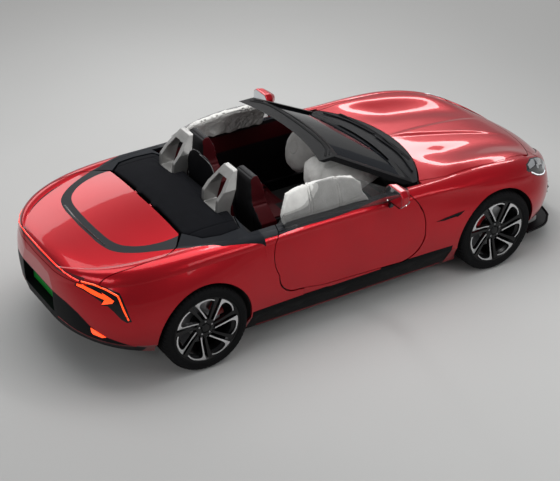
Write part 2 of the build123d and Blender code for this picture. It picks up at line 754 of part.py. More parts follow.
def knuckle_body():
    """Right upright with its spindle and brake caliper, round local Z with the wheel's outer face up."""
    plate = KINGPIN_X - TREAD_X
    with BuildPart() as knuckle:
        with BuildSketch(Plane.XY.offset(plate - 15)):
            Rectangle(56, 2 * JOINT_RISE)
            with Locations((60, 0)):
                Rectangle(130, 60)
        extrude(amount=30)
        with BuildSketch(Plane.XY.offset(plate)):
            Circle(BORE_R - BALL_GAP)
        extrude(amount=25 - plate)
        with BuildSketch(Plane.XZ):
            trace(
                (112, plate - 15), (200, plate - 15), (200, 22), (112, 22), (112, DISC_OUT + BRAKE_GAP),
                (DISC_R + 8, DISC_OUT + BRAKE_GAP), (DISC_R + 8, DISC_IN - BRAKE_GAP),
                (112, DISC_IN - BRAKE_GAP),
            )
        revolve(axis=Axis.Z, revolution_arc=50)
    return knuckle.part


with BuildPart() as kingpin_bores:
    with BuildSketch(Plane.XY.offset(TYRE_R - JOINT_RISE - 5)):
        with Locations((-KINGPIN_X, FRONT_AXLE_Y)):
            Circle(PIN_R + BALL_GAP)
    extrude(amount=30)
    with BuildSketch(Plane.XY.offset(TYRE_R + JOINT_RISE - 25)):
        with Locations((-KINGPIN_X, FRONT_AXLE_Y)):
            Circle(PIN_R + BALL_GAP)
    extrude(amount=30)
front_place = Plane((-TREAD_X, FRONT_AXLE_Y, TYRE_R), x_dir=(0, 1, 0), z_dir=(-1, 0, 0)).location
knuckle_right = cut(front_place * knuckle_body(), drop=[kingpin_bores.part])
write("knuckle_front_right", knuckle_right)
write("knuckle_front_left", mirrored(knuckle_right))
write("front_axle", axle_body(FRONT_AXLE_Y))
rear_place = Plane((-TREAD_X, REAR_AXLE_Y, TYRE_R), x_dir=(0, 1, 0), z_dir=(-1, 0, 0)).location
rear_upright = rear_place * knuckle_body()
with BuildPart() as rear_axle:
    add(axle_body(REAR_AXLE_Y))
    add(rear_upright)
    add(mirrored(rear_upright))
write("rear_axle", rear_axle.part)

with BuildPart() as drive_motors:
    for axle_y in (FRONT_AXLE_Y, REAR_AXLE_Y):
        with BuildSketch(Plane.YZ.offset(-190)):
            with Locations((axle_y, 380)):
                Circle(140)
        extrude(amount=380)
write("drive_motors", drive_motors.part)

# ---- rear cabin trim ----------------------------------------------------------------------------
HOOP_X = 342.0
HOOP_HALF = 122.0
HOOP_WALL = 34.0
HOOP_TOP_Z = 1292.0
HOOP_BASE_Z = SHELF_Z

with BuildPart() as hoop:
    with BuildSketch(Plane.XZ.offset(-760)):
        trace(
            (HOOP_X - HOOP_HALF, HOOP_BASE_Z),
            (HOOP_X + HOOP_HALF, HOOP_BASE_Z),
            (HOOP_X + HOOP_HALF, 1160),
            (HOOP_X + HOOP_HALF - 50, HOOP_TOP_Z),
            (HOOP_X - HOOP_HALF + 50, HOOP_TOP_Z),
            (HOOP_X - HOOP_HALF, 1160),
        )
    extrude(amount=-300)
    with BuildSketch(Plane.XZ.offset(-760)):
        trace(
            (HOOP_X - HOOP_HALF + HOOP_WALL, 1010),
            (HOOP_X + HOOP_HALF - HOOP_WALL, 1010),
            (HOOP_X + HOOP_HALF - HOOP_WALL, 1150),
            (HOOP_X + HOOP_HALF - 66, 1232),
            (HOOP_X - HOOP_HALF + 66, 1232),
            (HOOP_X - HOOP_HALF + HOOP_WALL, 1150),
        )
    extrude(amount=-300, mode=Mode.SUBTRACT)
hoop_holes = pair(
    plan_prism(900, 1100, (HOOP_X - 95, 860), (HOOP_X + 95, 860), (HOOP_X + 95, 990), (HOOP_X - 95, 990))
)
hoop_side = side_prism(0, FAR, (BULKHEAD_Y + 25, HOOP_BASE_Z), (BULKHEAD_Y + 25, 1010), (778, 1300), (812, 1300), (985, 1100), (998, HOOP_BASE_Z))
roll_hoops = pair(cut(hoop.part, keep=[hoop_side]))
write("roll_hoops", roll_hoops)
with BuildPart() as soft_top_cover:
    add(cut(thick_shell, keep=[soft_top_zone], drop=[roll_hoops, hoop_holes]))
    add(lid_ears())
write("soft_top_cover", soft_top_cover.part)

with BuildPart() as wind_deflector:
    with BuildSketch(Plane.XZ.offset(-(BULKHEAD_Y + 6))):
        trace((-212, SHELF_Z), (212, SHELF_Z), (212, 1120), ((150, 1225), (0, 1250)), ((-150, 1225), (-212, 1120)))
    extrude(amount=-12)
write("wind_deflector", wind_deflector.part)

# ---- cabin --------------------------------------------------------------------------------------
SEAT_X = 370.0
DASH_HALF = 700.0
DASH_TOP_Z = 880.0
COLUMN_TILT = 25.0
WHEEL_AT = (SEAT_X, -330.0, 800.0)
COLUMN_R = 24.0
# seen from the driver's seat: z along the column towards the driver
column_plane = Plane(
    WHEEL_AT, x_dir=(1, 0, 0), z_dir=(0, cos(radians(COLUMN_TILT)), sin(radians(COLUMN_TILT)))
)
with BuildPart() as dashboard:
    with BuildSketch(Plane.YZ.offset(-DASH_HALF)):
        trace(
            (FIREWALL_Y, 610), (-470, 600), (-400, 690), ((-370, 780), (-420, 850)), (-470, DASH_TOP_Z),
            (FIREWALL_Y, DASH_TOP_Z),
        )
    extrude(amount=2 * DASH_HALF)
    with BuildSketch(column_plane.offset(-230)):
        Circle(COLUMN_R + 20)
    extrude(amount=170)
    with BuildSketch(column_plane.offset(-250)):
        Circle(COLUMN_R + BALL_GAP)
    extrude(amount=300, mode=Mode.SUBTRACT)
write("dashboard", dashboard.part)

with BuildPart() as console:
    with BuildSketch(Plane.YZ.offset(-110)):
        trace((-690, FLOOR_TOP), (640, FLOOR_TOP), (640, 560), (0, 560), (-300, 600), (-420, 596), (-690, 596))
    extrude(amount=220)
write("console", console.part)

with BuildPart() as seat_cushion:
    with BuildSketch(Plane.YZ.offset(SEAT_X - 230)):
        trace(
            (-40, FLOOR_TOP + SEAT_GAP), (470, FLOOR_TOP + SEAT_GAP), (470, 420), (40, 480), ((-40, 480), (-70, 430))
        )
    extrude(amount=460)
    with BuildSketch(Plane.XZ.offset(70)):
        trace((SEAT_X - 160, 560), (SEAT_X - 120, 440), (SEAT_X + 120, 440), (SEAT_X + 160, 560))
    extrude(amount=-560, mode=Mode.SUBTRACT)
write("seat_cushions", pair(seat_cushion.part))

with BuildPart() as seat_back:
    with BuildSketch(Plane.YZ.offset(SEAT_X - 240)):
        trace(
            (475, FLOOR_TOP + SEAT_GAP), (620, FLOOR_TOP + SEAT_GAP), (650, 560), (715, 1000), (720, 1200),
            ((690, 1246), (640, 1240)), (596, 1150), (575, 1000), (475, 560),
        )
    extrude(amount=480)
    for side in (1, -1):
        with BuildSketch(Plane.XZ.offset(-400)):
            trace(
                (SEAT_X + side * 300, 880), (SEAT_X + side * 240, 880), (SEAT_X + side * 130, 1030),
                (SEAT_X + side * 105, 1300), (SEAT_X + side * 300, 1300),
            )
        extrude(amount=-600, mode=Mode.SUBTRACT)
write("seat_backs", pair(seat_back.part))

with BuildPart() as steering_wheel:
    with BuildSketch(column_plane.offset(-40)):
        Circle(185)
        Circle(152, mode=Mode.SUBTRACT)
        Circle(60)
        Rectangle(330, 34)
        with Locations((0, -90)):
            Rectangle(40, 160)
    extrude(amount=28)
    with BuildSketch(column_plane.offset(-200)):
        Circle(COLUMN_R)
    extrude(amount=170)
write("steering_wheel", steering_wheel.part)

BAG_R = 210.0
with BuildPart() as driver_airbag:
    with BuildSketch(Plane.XZ):
        trace((0, 0), (60, 0), (BAG_R - 30, 36), (BAG_R, 66), (BAG_R - 24, 98), (110, 148), (0, 168))
    revolve(axis=Axis.Z)
write("driver_airbag", column_plane.offset(SEAT_GAP - 12).location * driver_airbag.part)

# cross-sections of the passenger's bag: y, width, bottom z, top z
BAG_LOW = DASH_TOP_Z + SEAT_GAP
BAG_SECTIONS = [(-550, 200, BAG_LOW, 944), (-470, 280, BAG_LOW, 1000), (-330, 400, 862, 1082), (-120, 430, 790, 1150)]
BAG_SECTIONS += [(60, 380, 812, 1144), (112, 220, 880, 1060)]
with BuildPart() as passenger_airbag:
    for y, width, low, high in BAG_SECTIONS:
        with BuildSketch(Plane.XZ.offset(-y)):
            with Locations((-SEAT_X, (low + high) / 2)):
                Rectangle(width, high - low)
            chamfer(vertices(), (high - low) * 0.28)
    loft(ruled=True)
write("passenger_airbag", passenger_airbag.part)

CURTAIN_WALL = 34.0
# the curtain's own bow, bottom to top, just inside the glass: half width, z
CURTAIN_CURVE = [(822, 900), (772, 1070), (672, 1200)]
body_cover = body_solid(-2 * SEAT_GAP)
with BuildPart() as curtain_band:
    with BuildSketch(Plane.XZ.offset(-800)):
        (x0, z0), (x1, z1), (x2, z2) = CURTAIN_CURVE
        trace(
            (-x0, z0), ((-x1, z1), (-x2, z2)), (-x2 + CURTAIN_WALL, z2),
            ((-x1 + CURTAIN_WALL, z1 - 3), (-x0 + CURTAIN_WALL, z0)),
        )
    extrude(amount=1400)
curtain_outline = side_prism(
    -900, -600, (-150, 900), (620, 900), (640, 1000), (560, 1120), ((250, 1180), (-60, 1150)), (-150, 1090)
)
curtain_right = cut(curtain_band.part, keep=[curtain_outline], drop=[body_cover])
write("curtain_airbag_right", curtain_right)
write("curtain_airbag_left", mirrored(curtain_right))

# ---- lamps and lower trim -----------------------------------------------------------------------
SPLITTER_PLAN = [(0, NOSE_Y + 10), (330, NOSE_Y + 30), (640, -2120), (850, -1900), (905, -1722), (640, -1722)]
SPLITTER_PLAN += [(640, -2060), (0, -2060)]
splitter_zone = plan_prism(120, 236, *both_sides(SPLITTER_PLAN))
write("front_splitter", cut(splitter_zone, drop=[body_cover, arches.part]))
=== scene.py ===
"""The roadster's looks: camera, studio, finishes and the pieces that plain solids can't show.

Metres.  -Y is the nose, +Y the tail, +Z up, and -X the car's right side, which the camera sees.
"""
import math

import bmesh
import bpy
import numpy as np
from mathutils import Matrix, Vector, noise
from mathutils.bvhtree import BVHTree
from mathutils.geometry import barycentric_transform, delaunay_2d_cdt


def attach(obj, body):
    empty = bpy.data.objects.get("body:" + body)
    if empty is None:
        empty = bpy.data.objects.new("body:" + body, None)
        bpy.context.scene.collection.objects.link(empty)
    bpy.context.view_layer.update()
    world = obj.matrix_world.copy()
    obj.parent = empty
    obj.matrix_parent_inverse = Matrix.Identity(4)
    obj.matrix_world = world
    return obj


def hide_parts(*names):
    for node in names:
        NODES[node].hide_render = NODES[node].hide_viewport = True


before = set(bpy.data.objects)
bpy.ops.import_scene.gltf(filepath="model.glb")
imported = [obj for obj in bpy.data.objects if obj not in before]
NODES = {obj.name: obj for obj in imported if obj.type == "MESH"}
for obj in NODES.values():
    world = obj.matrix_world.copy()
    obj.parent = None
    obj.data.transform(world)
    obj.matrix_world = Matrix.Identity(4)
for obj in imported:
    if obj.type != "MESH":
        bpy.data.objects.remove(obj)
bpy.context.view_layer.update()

FRONT_AXLE_Y = -1.3425
REAR_AXLE_Y = 1.3475
TYRE_R = 0.352
TREAD_X = 0.796
WHEEL_WIDTH = {"front": 0.245, "rear": 0.275}
SIDES = (("right", 1), ("left", -1))  # name and sign: the right side, at -X, has 1


# ---- materials ----
class Nodes:
    """A short way to write a node material: new(type) adds a node, join(a, b) links two sockets."""

    def __init__(self, name):
        self.material = bpy.data.materials.new(name)
        self.material.use_nodes = True
        self.tree = self.material.node_tree
        self.shader = self.tree.nodes["Principled BSDF"]
        self.coords = self.new("TexCoord").outputs["Object"]

    def new(self, kind, **values):
        node = self.tree.nodes.new("ShaderNode" + kind)
        for key, value in values.items():
            if hasattr(node, key):
                setattr(node, key, value)
            else:
                node.inputs[key.replace("_", " ")].default_value = value
        return node

    def join(self, source, target):
        self.tree.links.new(source, target)

    def put(self, value, target):
        """Links a socket, or sets a number or a colour."""
        if isinstance(value, (int, float)):
            target.default_value = value
        elif isinstance(value, tuple):
            target.default_value = (*value, 1)
        else:
            self.join(value, target)

    def set(self, **values):
        for key, value in values.items():
            self.shader.inputs[key.replace("_", " ")].default_value = value

    def colour(self, value):
        self.join(value, self.shader.inputs["Base Color"])

    def math(self, operation, *values):
        node = self.new("Math", operation=operation)
        for socket, value in zip(node.inputs, values):
            self.put(value, socket)
        return node.outputs[0]

    def split(self, vector):
        node = self.new("SeparateXYZ")
        self.join(vector, node.inputs[0])
        return node.outputs

    def noise(self, scale, detail):
        place = self.new("Mapping")
        self.join(self.coords, place.inputs["Vector"])
        node = self.new("TexNoise", Scale=scale, Detail=detail)
        self.join(place.outputs[0], node.inputs["Vector"])
        return node.outputs["Fac"]

    def ramp(self, value, *stops):
        node = self.new("ValToRGB")
        for i, (at, colour) in enumerate(stops):
            stop = node.color_ramp.elements[i] if i < 2 else node.color_ramp.elements.new(at)
            stop.position = at
            stop.color = (*colour, 1)
        self.join(value, node.inputs[0])
        return node.outputs[0]

    def mix(self, factor, a, b):
        node = self.new("Mix", data_type="RGBA")
        self.join(factor, node.inputs["Factor"])
        self.put(a, node.inputs["A"])
        self.put(b, node.inputs["B"])
        return node.outputs["Result"]

    def stretch(self, value, ends, low, high):
        """value through a Map Range node with its From or its To ends set."""
        node = self.new("MapRange")
        node.inputs[ends + " Min"].default_value = low
        node.inputs[ends + " Max"].default_value = high
        self.join(value, node.inputs["Value"])
        return node.outputs[0]

    def vary(self, value, low, high):
        self.join(self.stretch(value, "To", low, high), self.shader.inputs["Roughness"])

    def bump(self, height, strength, distance):
        node = self.new("Bump", Strength=strength, Distance=distance)
        self.join(height, node.inputs["Height"])
        self.join(node.outputs[0], self.shader.inputs["Normal"])

    def curve(self, value, points, low, high):
        """value looked up in a table of (input, output) points, both in metres; outputs below 1."""
        node = self.new("FloatCurve")
        line = node.mapping.curves[0]
        node.mapping.use_clip = False
        table = sorted(((at - low) / (high - low), out) for at, out in points)
        for i, (at, out) in enumerate(table):
            point = line.points[i] if i < 2 else line.points.new(at, out)
            point.location = (at, out)
        node.mapping.update()
        self.join(self.math("DIVIDE", self.math("SUBTRACT", value, low), high - low), node.inputs["Value"])
        return node.outputs[0]


GLOSS_SPREAD = 0.06  # how far roughness wanders over a plain finish
RED = (0.43, 0.003, 0.01)
BAND_BLACK = (0.0065, 0.008, 0.011)
# the dark band round the cabin and over the boot lid: y, half width of its outer and inner edges
BAND_OUTER = [(-0.55, 0.8), (-0.267, 0.822), (0.1, 0.862), (0.55, 0.866), (0.8, 0.867), (0.996, 0.84),
    (1.202, 0.797), (1.45, 0.702), (1.632, 0.624), (1.74, 0.56), (1.835, 0.468), (1.88, 0.36), (1.902, 0.17),
    (1.906, 0.001)]
BAND_INNER = [(1.3, 0.56), (1.34, 0.57), (1.465, 0.581), (1.57, 0.562), (1.66, 0.524), (1.72, 0.48),
    (1.78, 0.405), (1.808, 0.32), (1.822, 0.2), (1.829, 0.001)]
BAND_FRONT = -0.52
BAND_FOOT = 0.9
LID_FRONT = 1.352  # the band's inner edge starts here
LINING_LEAN = -0.35  # faces that lean further inwards are the doors' lining
LINING_BLACK = (0.01, 0.008, 0.009)


def paint():
    """Red clear-coated paint, with the dark band over the lid, the quarters and the tops of the doors."""
    m = Nodes("red_paint")
    flakes = m.noise(900, 1)
    red = m.ramp(m.noise(2.5, 2), (0.3, RED), (0.7, tuple(c * 1.12 for c in RED)))
    x, y, z = m.split(m.coords)
    half = m.math("ABSOLUTE", x)
    low, high = BAND_OUTER[0][0], BAND_OUTER[-1][0]
    outer = m.math("LESS_THAN", half, m.curve(y, BAND_OUTER, low, high))
    outer = m.math("MULTIPLY", outer, m.math("GREATER_THAN", y, BAND_FRONT))
    above = m.math("MULTIPLY", m.math("LESS_THAN", y, high), m.math("GREATER_THAN", z, BAND_FOOT))
    low, high = BAND_INNER[0][0], BAND_INNER[-1][0]
    inner = m.math("LESS_THAN", half, m.curve(y, BAND_INNER, low, high))
    on_lid = m.math("MULTIPLY", m.math("GREATER_THAN", y, LID_FRONT), m.math("LESS_THAN", y, high))
    hole = m.math("SUBTRACT", 1.0, m.math("MULTIPLY", inner, on_lid))
    band = m.math("MULTIPLY", m.math("MULTIPLY", outer, above), hole)
    inwards = m.math("MULTIPLY", m.split(m.new("TexCoord").outputs["Normal"])[0], m.math("SIGN", x))
    lining = m.math("LESS_THAN", inwards, LINING_LEAN)
    trim = m.ramp(m.stretch(z, "From", 0.55, 0.95), (0.0, LINING_BLACK), (0.52, LINING_BLACK),
        (0.56, (0.06, 0.003, 0.005)), (0.9, (0.05, 0.003, 0.005)), (0.93, (0.008, 0.008, 0.009)))
    m.colour(m.mix(lining, m.mix(band, red, BAND_BLACK), trim))
    dark = m.math("MAXIMUM", band, lining)
    m.vary(dark, 0.3, 0.5)
    bright = m.math("SUBTRACT", 1.0, dark)
    m.join(m.math("MULTIPLY", bright, 0.6), m.shader.inputs["Metallic"])
    m.join(m.math("MULTIPLY", bright, 0.75), m.shader.inputs["Coat Weight"])
    m.set(Coat_Roughness=0.03, Coat_IOR=1.38, Specular_IOR_Level=0.2)
    m.bump(flakes, 0.03, 0.0002)
    return m.material


def plain(name, colour, roughness, metallic, coat, grain, depth, specular, **more):
    """A moulded, cast or painted finish: slight colour clouds, uneven gloss and a fine grain."""
    m = Nodes(name)
    clouds = m.noise(9, 3)
    low = tuple(c * 0.86 for c in colour)
    high = tuple(min(c * 1.12, 1) for c in colour)
    m.colour(m.ramp(clouds, (0.3, low), (0.7, high)))
    m.vary(m.noise(40, 3), max(roughness - GLOSS_SPREAD, 0.02), min(roughness + GLOSS_SPREAD, 1))
    m.set(Metallic=metallic, Coat_Weight=coat, Coat_Roughness=0.05, Specular_IOR_Level=specular, **more)
    m.bump(m.noise(grain, 2), depth, 0.0004)
    return m.material


def woven(name, colour, scale, sheen, roughness, depth, wrinkle=0.0):
    """Woven cloth: two crossed threads, with soft sheen and slow wrinkles."""
    m = Nodes(name)
    waves = []
    for direction in ("X", "Y", "Z"):
        wave = m.new("TexWave", bands_direction=direction, Scale=scale / 20, Distortion=0.4)
        m.join(m.coords, wave.inputs["Vector"])
        waves.append(wave.outputs["Fac"])
    weave = m.math("ADD", m.math("MULTIPLY", waves[0], waves[1]), m.math("MULTIPLY", waves[1], waves[2]))
    clouds = m.noise(14, 4)
    dark = tuple(c * 0.8 for c in colour)
    m.colour(m.ramp(clouds, (0.25, dark), (0.75, colour)))
    m.set(Roughness=roughness, Sheen_Weight=sheen, Sheen_Roughness=0.4, Specular_IOR_Level=0.12)
    if wrinkle:
        weave = m.math("ADD", m.math("MULTIPLY", weave, 0.15), m.math("MULTIPLY", m.noise(22, 4), wrinkle))
    m.bump(weave, depth, 0.0012 if wrinkle else 0.0005)
    return m.material


def glass(name, colour, cover):
    """Tinted glass as a film: cover is the share of light that it holds back."""
    m = Nodes(name)
    m.vary(m.noise(30, 2), 0.02, 0.04)
    m.colour(m.ramp(m.noise(3, 1), (0, colour), (1, tuple(c * 0.9 for c in colour))))
    m.set(Alpha=cover, IOR=1.22, Specular_IOR_Level=0.3)
    return m.material


def glow(name, colour, strength):
    """A lamp lens that is lit from inside."""
    m = Nodes(name)
    fine = m.noise(60, 2)
    m.colour(m.ramp(fine, (0.2, tuple(c * 0.7 for c in colour)), (0.8, colour)))
    m.set(Emission_Color=(*colour, 1), Emission_Strength=strength, Coat_Weight=1.0, Coat_Roughness=0.02)
    m.vary(fine, 0.1, 0.25)
    return m.material


# name: slot, colour, roughness, metallic, coat, grain scale, grain depth, specular level
PLAIN = {
    "band_black": ("black_paint", BAND_BLACK, 0.5, 0, 0, 700, 0.05, 0.08),
    "frame_black": ("black_paint", (0.004, 0.004, 0.0045), 0.4, 0, 0, 900, 0.03, 0.06),
    "gloss_black": ("black_trim", (0.005, 0.005, 0.006), 0.14, 0, 0, 900, 0.01, 0.35),
    "satin_black": ("black_trim", (0.005, 0.005, 0.006), 0.42, 0, 0, 900, 0.12, 0.07),
    "underbody": ("underbody", (0.025, 0.025, 0.025), 0.8, 0, 0, 300, 0.5, 0.5),
    "satin_silver": ("satin_silver", (0.34, 0.335, 0.325), 0.42, 0.7, 0, 1500, 0.03, 0.5),
    "chrome": ("steel", (0.8, 0.8, 0.8), 0.08, 1, 0, 900, 0.01, 0.5),
    "wheel_black": ("dark_alloy", (0.004, 0.004, 0.0045), 0.25, 0, 0, 900, 0.02, 0.3),
    "wheel_silver": ("steel", (0.62, 0.62, 0.63), 0.2, 0.95, 0, 1800, 0.05, 0.5),
    "disc_steel": ("steel", (0.33, 0.33, 0.34), 0.34, 1, 0, 250, 0.2, 0.5),
    "caliper_red": ("red_paint", (0.42, 0.01, 0.012), 0.35, 0, 0.5, 400, 0.1, 0.5),
    "rubber": ("black_trim", (0.0045, 0.0045, 0.005), 0.8, 0, 0, 700, 0.25, 0.15),
    "cast": ("steel", (0.1, 0.1, 0.105), 0.6, 0.7, 0, 350, 0.5, 0.5),
    "leather_black": ("seat_leather", (0.006, 0.0055, 0.0065), 0.55, 0, 0, 260, 0.35, 0.3),
    "leather_red": ("seat_leather", (0.055, 0.002, 0.004), 0.55, 0, 0, 260, 0.35, 0.15),
    "dash_black": ("dash_trim", (0.006, 0.0055, 0.006), 0.6, 0, 0, 800, 0.3, 0.25),
    "dash_red": ("dash_trim", (0.12, 0.006, 0.01), 0.5, 0, 0, 500, 0.3, 0.5),
    "lamp_dark": ("clear_lens", (0.02, 0.022, 0.024), 0.12, 0.3, 1, 120, 0.15, 0.5),
    "reflector": ("clear_lens", (0.62, 0.63, 0.64), 0.18, 0.6, 1, 60, 0.35, 0.5),
    "rubber_grey": ("black_trim", (0.09, 0.09, 0.09), 0.6, 0, 0, 700, 0.2, 0.5),
    "stripe_red": ("red_paint", (0.35, 0.006, 0.012), 0.3, 0, 0.5, 400, 0.1, 0.5),
    "lens_dark_red": ("red_lens", (0.1, 0.003, 0.005), 0.08, 0, 1, 900, 0.01, 0.5),
    "plate_green": ("plate_green", (0.008, 0.3, 0.035), 0.35, 0, 0.4, 400, 0.1, 0.5),
    "mirror_glass": ("clear_lens", (0.75, 0.77, 0.8), 0.03, 1, 0, 900, 0, 0.5),
}
SLOTS = {name: row[0] for name, row in PLAIN.items()}
SLOTS.update(red_paint="red_paint", roof_cloth="roof_cover", bag_cloth="bag_cloth",
    lamp_red_bright="red_lens", lamp_orange="red_lens", lamp_white="clear_lens")
MATERIALS = {name: plain(name, *row[1:]) for name, row in PLAIN.items()}
MATERIALS.update(
    red_paint=paint(),
    red_paint_plain=plain("red_paint_plain", RED, 0.3, 0.6, 0.75, 900, 0.02, 0.2, Coat_IOR=1.38),
    roof_cloth=woven("roof_cloth", (0.0045, 0.0048, 0.0065), 2400, 0.0, 0.95, 0.3),
    bag_cloth=woven("bag_cloth", (0.74, 0.73, 0.7), 1800, 0.15, 0.8, 0.5, wrinkle=1.0),
    # the windscreen's film is nearly black and holds back most light: painted shade, far darker than a
    # windscreen's own tint
    screen_glass=glass("screen_glass", (0.004, 0.005, 0.007), 0.88),
    side_glass=glass("side_glass", (0.1, 0.1, 0.1), 0.26),
    lamp_red_bright=glow("lamp_red_bright", (1.0, 0.025, 0.012), 2.2),
    lamp_orange=glow("lamp_orange", (1.0, 0.06, 0.006), 1.6),
    lamp_white=glow("lamp_white", (0.95, 0.96, 1.0), 0.7),
)

NODE_FINISH = {
    "satin_black": "rear_diffuser cowl wind_deflector",
    "gloss_black": "front_splitter",
    "band_black": "rear_deck",
    "frame_black": "side_skirts windscreen_frame",
    "underbody": "undertray floor_pan firewall wheel_liners",
    "cast": "battery_pack door_hinges front_axle rear_axle drive_motors"
        " knuckle_front_right knuckle_front_left",
    "dash_black": "rear_bulkhead dashboard console",
    "leather_black": "seat_cushions seat_backs steering_wheel",
    "bag_cloth": "passenger_airbag driver_airbag curtain_airbag_right curtain_airbag_left",
    "roof_cloth": "soft_top_cover",
    "satin_silver": "roll_hoops",
    "screen_glass": "windscreen_glass",
    "side_glass": "door_glass_right door_glass_left",
    "lens_dark_red": "light_bar",
    "plate_green": "number_plate",
    "rubber": "tyre_front_right tyre_front_left tyre_rear_right tyre_rear_left",
    "wheel_black": "rim_front_right rim_front_left rim_rear_right rim_rear_left",
}
FINISH_OF = {name: finish for finish, names in NODE_FINISH.items() for name in names.split()}
for name, node in NODES.items():
    for held in node.material_slots:
        held.material = MATERIALS[FINISH_OF.get(name, "red_paint")]


# ---- small mesh tools ----
def link(name, data):
    """An object in the scene."""
    piece = bpy.data.objects.new(name, data)
    bpy.context.scene.collection.objects.link(piece)
    return piece


def from_shell(name, shell):
    """An object made from a bmesh, which is freed."""
    mesh = bpy.data.meshes.new(name)
    shell.to_mesh(mesh)
    shell.free()
    return link(name, mesh)


def shell_of(mesh):
    shell = bmesh.new()
    shell.from_mesh(mesh)
    return shell


def cover(piece, *finishes):
    """Gives a piece these materials in place of its own, and smooth shading."""
    piece.data.materials.clear()
    for finish in finishes:
        piece.data.materials.append(MATERIALS[finish])
    for face in piece.data.polygons:
        face.use_smooth = True


def declare(piece, body, slot, *replaced):
    """Hangs the piece on its body and hides the CAD nodes that it replaces; slot is not used."""
    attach(piece, body)
    if replaced:
        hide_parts(*replaced)


def new_piece(name, vertices, faces, material, body="body", sharp=30, replaces=(), slot=None):
    """A mesh piece that rides on a body, smooth apart from edges bent by more than sharp degrees."""
    mesh = bpy.data.meshes.new(name)
    mesh.from_pydata([tuple(v) for v in vertices], [], [tuple(f) for f in faces])
    shell = shell_of(mesh)
    bmesh.ops.recalc_face_normals(shell, faces=shell.faces)
    limit = math.radians(sharp)
    for face in shell.faces:
        face.smooth = True
    for edge in shell.edges:
        edge.smooth = len(edge.link_faces) == 2 and edge.calc_face_angle(0) < limit
    shell.to_mesh(mesh)
    shell.free()
    mesh.materials.append(MATERIALS[material])
    declare(link(name, mesh), body, slot or SLOTS[material], *replaces)


def tube_faces(rings, count):
    """Faces of a closed strip made of rings of points, with its two ends."""
    last = (rings - 1) * count
    faces = []
    for a in range(0, last, count):
        for j in range(count):
            k = (j + 1) % count
            faces.append((a + j, a + k, a + count + k, a + count + j))
    return faces + [tuple(range(count)), tuple(last + j for j in reversed(range(count)))]


def ring_mesh(profile, segments, place, shape=None):
    """A profile of (radius, along) points turned all the way round; shape may move each point."""
    vertices, faces = [], []
    count = len(profile)
    for i in range(segments):
        turn = math.tau * i / segments
        for j, (radius, along) in enumerate(profile):
            if shape:
                radius, along = shape(i, j, radius, along)
            vertices.append(place(radius * math.cos(turn), radius * math.sin(turn), along))
    for i in range(segments):
        here, there = i * count, (i + 1) % segments * count
        for j in range(count):
            k = (j + 1) % count
            faces.append((here + j, here + k, there + k, there + j))
    return vertices, faces


def join_meshes(*parts):
    """Vertices and faces of several parts in one list each."""
    vertices, faces = [], []
    for part_vertices, part_faces in parts:
        start = len(vertices)
        vertices += list(part_vertices)
        faces += [tuple(start + i for i in face) for face in part_faces]
    return vertices, faces


def ribbon(stations, depth, place):
    """A solid strip: each station is (left point, right point, height), and it goes down by depth."""
    vertices = []
    for left, right, height in stations:
        for (u, v), drop in ((left, 0), (right, 0), (right, depth), (left, depth)):
            vertices.append(place(u, v, height - drop))
    return vertices, tube_faces(len(stations), 4)


def polar(radius, degrees):
    """Level and upright distance from the centre."""
    angle = math.radians(degrees)
    return radius * math.cos(angle), radius * math.sin(angle)


NOSE_FLAT = -2.2645  # the bumper's foremost face, pressed back so that the intake stays inside the CAD box


def node_tree(names):
    """A ray-cast tree of some CAD nodes."""
    vertices, faces = [], []
    for name in names:
        start = len(vertices)
        vertices += [Vector((v.co.x, max(v.co.y, NOSE_FLAT), v.co.z)) for v in NODES[name].data.vertices]
        faces += [[start + i for i in face.vertices] for face in NODES[name].data.polygons]
    return BVHTree.FromPolygons(vertices, faces)


def heading(line, i):
    """The direction of a line at one of its points, not of unit length."""
    return line[min(i + 1, len(line) - 1)] - line[max(i - 1, 0)]


def smooth_line(points, step):
    """Points at even steps along a Catmull-Rom line through the given points."""
    points = [Vector(p) for p in points]
    ends = [2 * points[0] - points[1]] + points + [2 * points[-1] - points[-2]]
    line = []
    for i in range(1, len(ends) - 2):
        a, b, c, d = ends[i - 1:i + 3]
        parts = max(2, int((c - b).length / step))
        for j in range(parts):
            t = j / parts
            line.append(0.5 * (2 * b + (c - a) * t + (2 * a - 5 * b + 4 * c - d) * t ** 2
                + (3 * b - a - 3 * c + d) * t ** 3))
    return line + [points[-1]]


BAND_SINK, PATCH_SINK = 0.003, 0.004  # how far bands and plates reach under the surface


def surface_band(name, points, width, tree, material, body="body", height=0.002, step=0.015, taper=False,
        smooth=True, **more):
    """A raised strip that follows a line over a surface, and bridges the shut lines that it crosses."""
    if smooth:
        line = smooth_line(points, step)
    else:
        ends = zip(points, points[1:])
        line = [Vector(a).lerp(Vector(b), t / 12) for a, b in ends for t in range(12)] + [Vector(points[-1])]
    found = [tree.find_nearest(point)[:2] for point in line]
    reach = 3
    spine, leans = [], []
    for i, point in enumerate(line):
        near = found[max(i - reach, 0):i + reach + 1]
        about = line[max(i - reach, 0):i + reach + 1]
        shifts = sorted(((hit - at) for (hit, _), at in zip(near, about)), key=lambda v: v.length)
        spine.append(point + shifts[len(shifts) // 2])
        leans.append(sum((lean for _, lean in near), Vector()).normalized())
    vertices = []
    for i, (middle, lean) in enumerate(zip(spine, leans)):
        side = lean.cross(heading(spine, i)).normalized()
        w = width / 2
        if taper:
            w *= min(1.0, 4 * min(i, len(spine) - 1 - i) / len(spine) + 0.08)
        foot, low = -BAND_SINK, height * 0.4
        for across, up in ((-1, foot), (-1, low), (-0.6, height), (0.6, height), (1, low), (1, foot)):
            vertices.append(middle + side * (w * across) + lean * up)
    new_piece(name, vertices, tube_faces(len(spine), 6), material, body, **more)


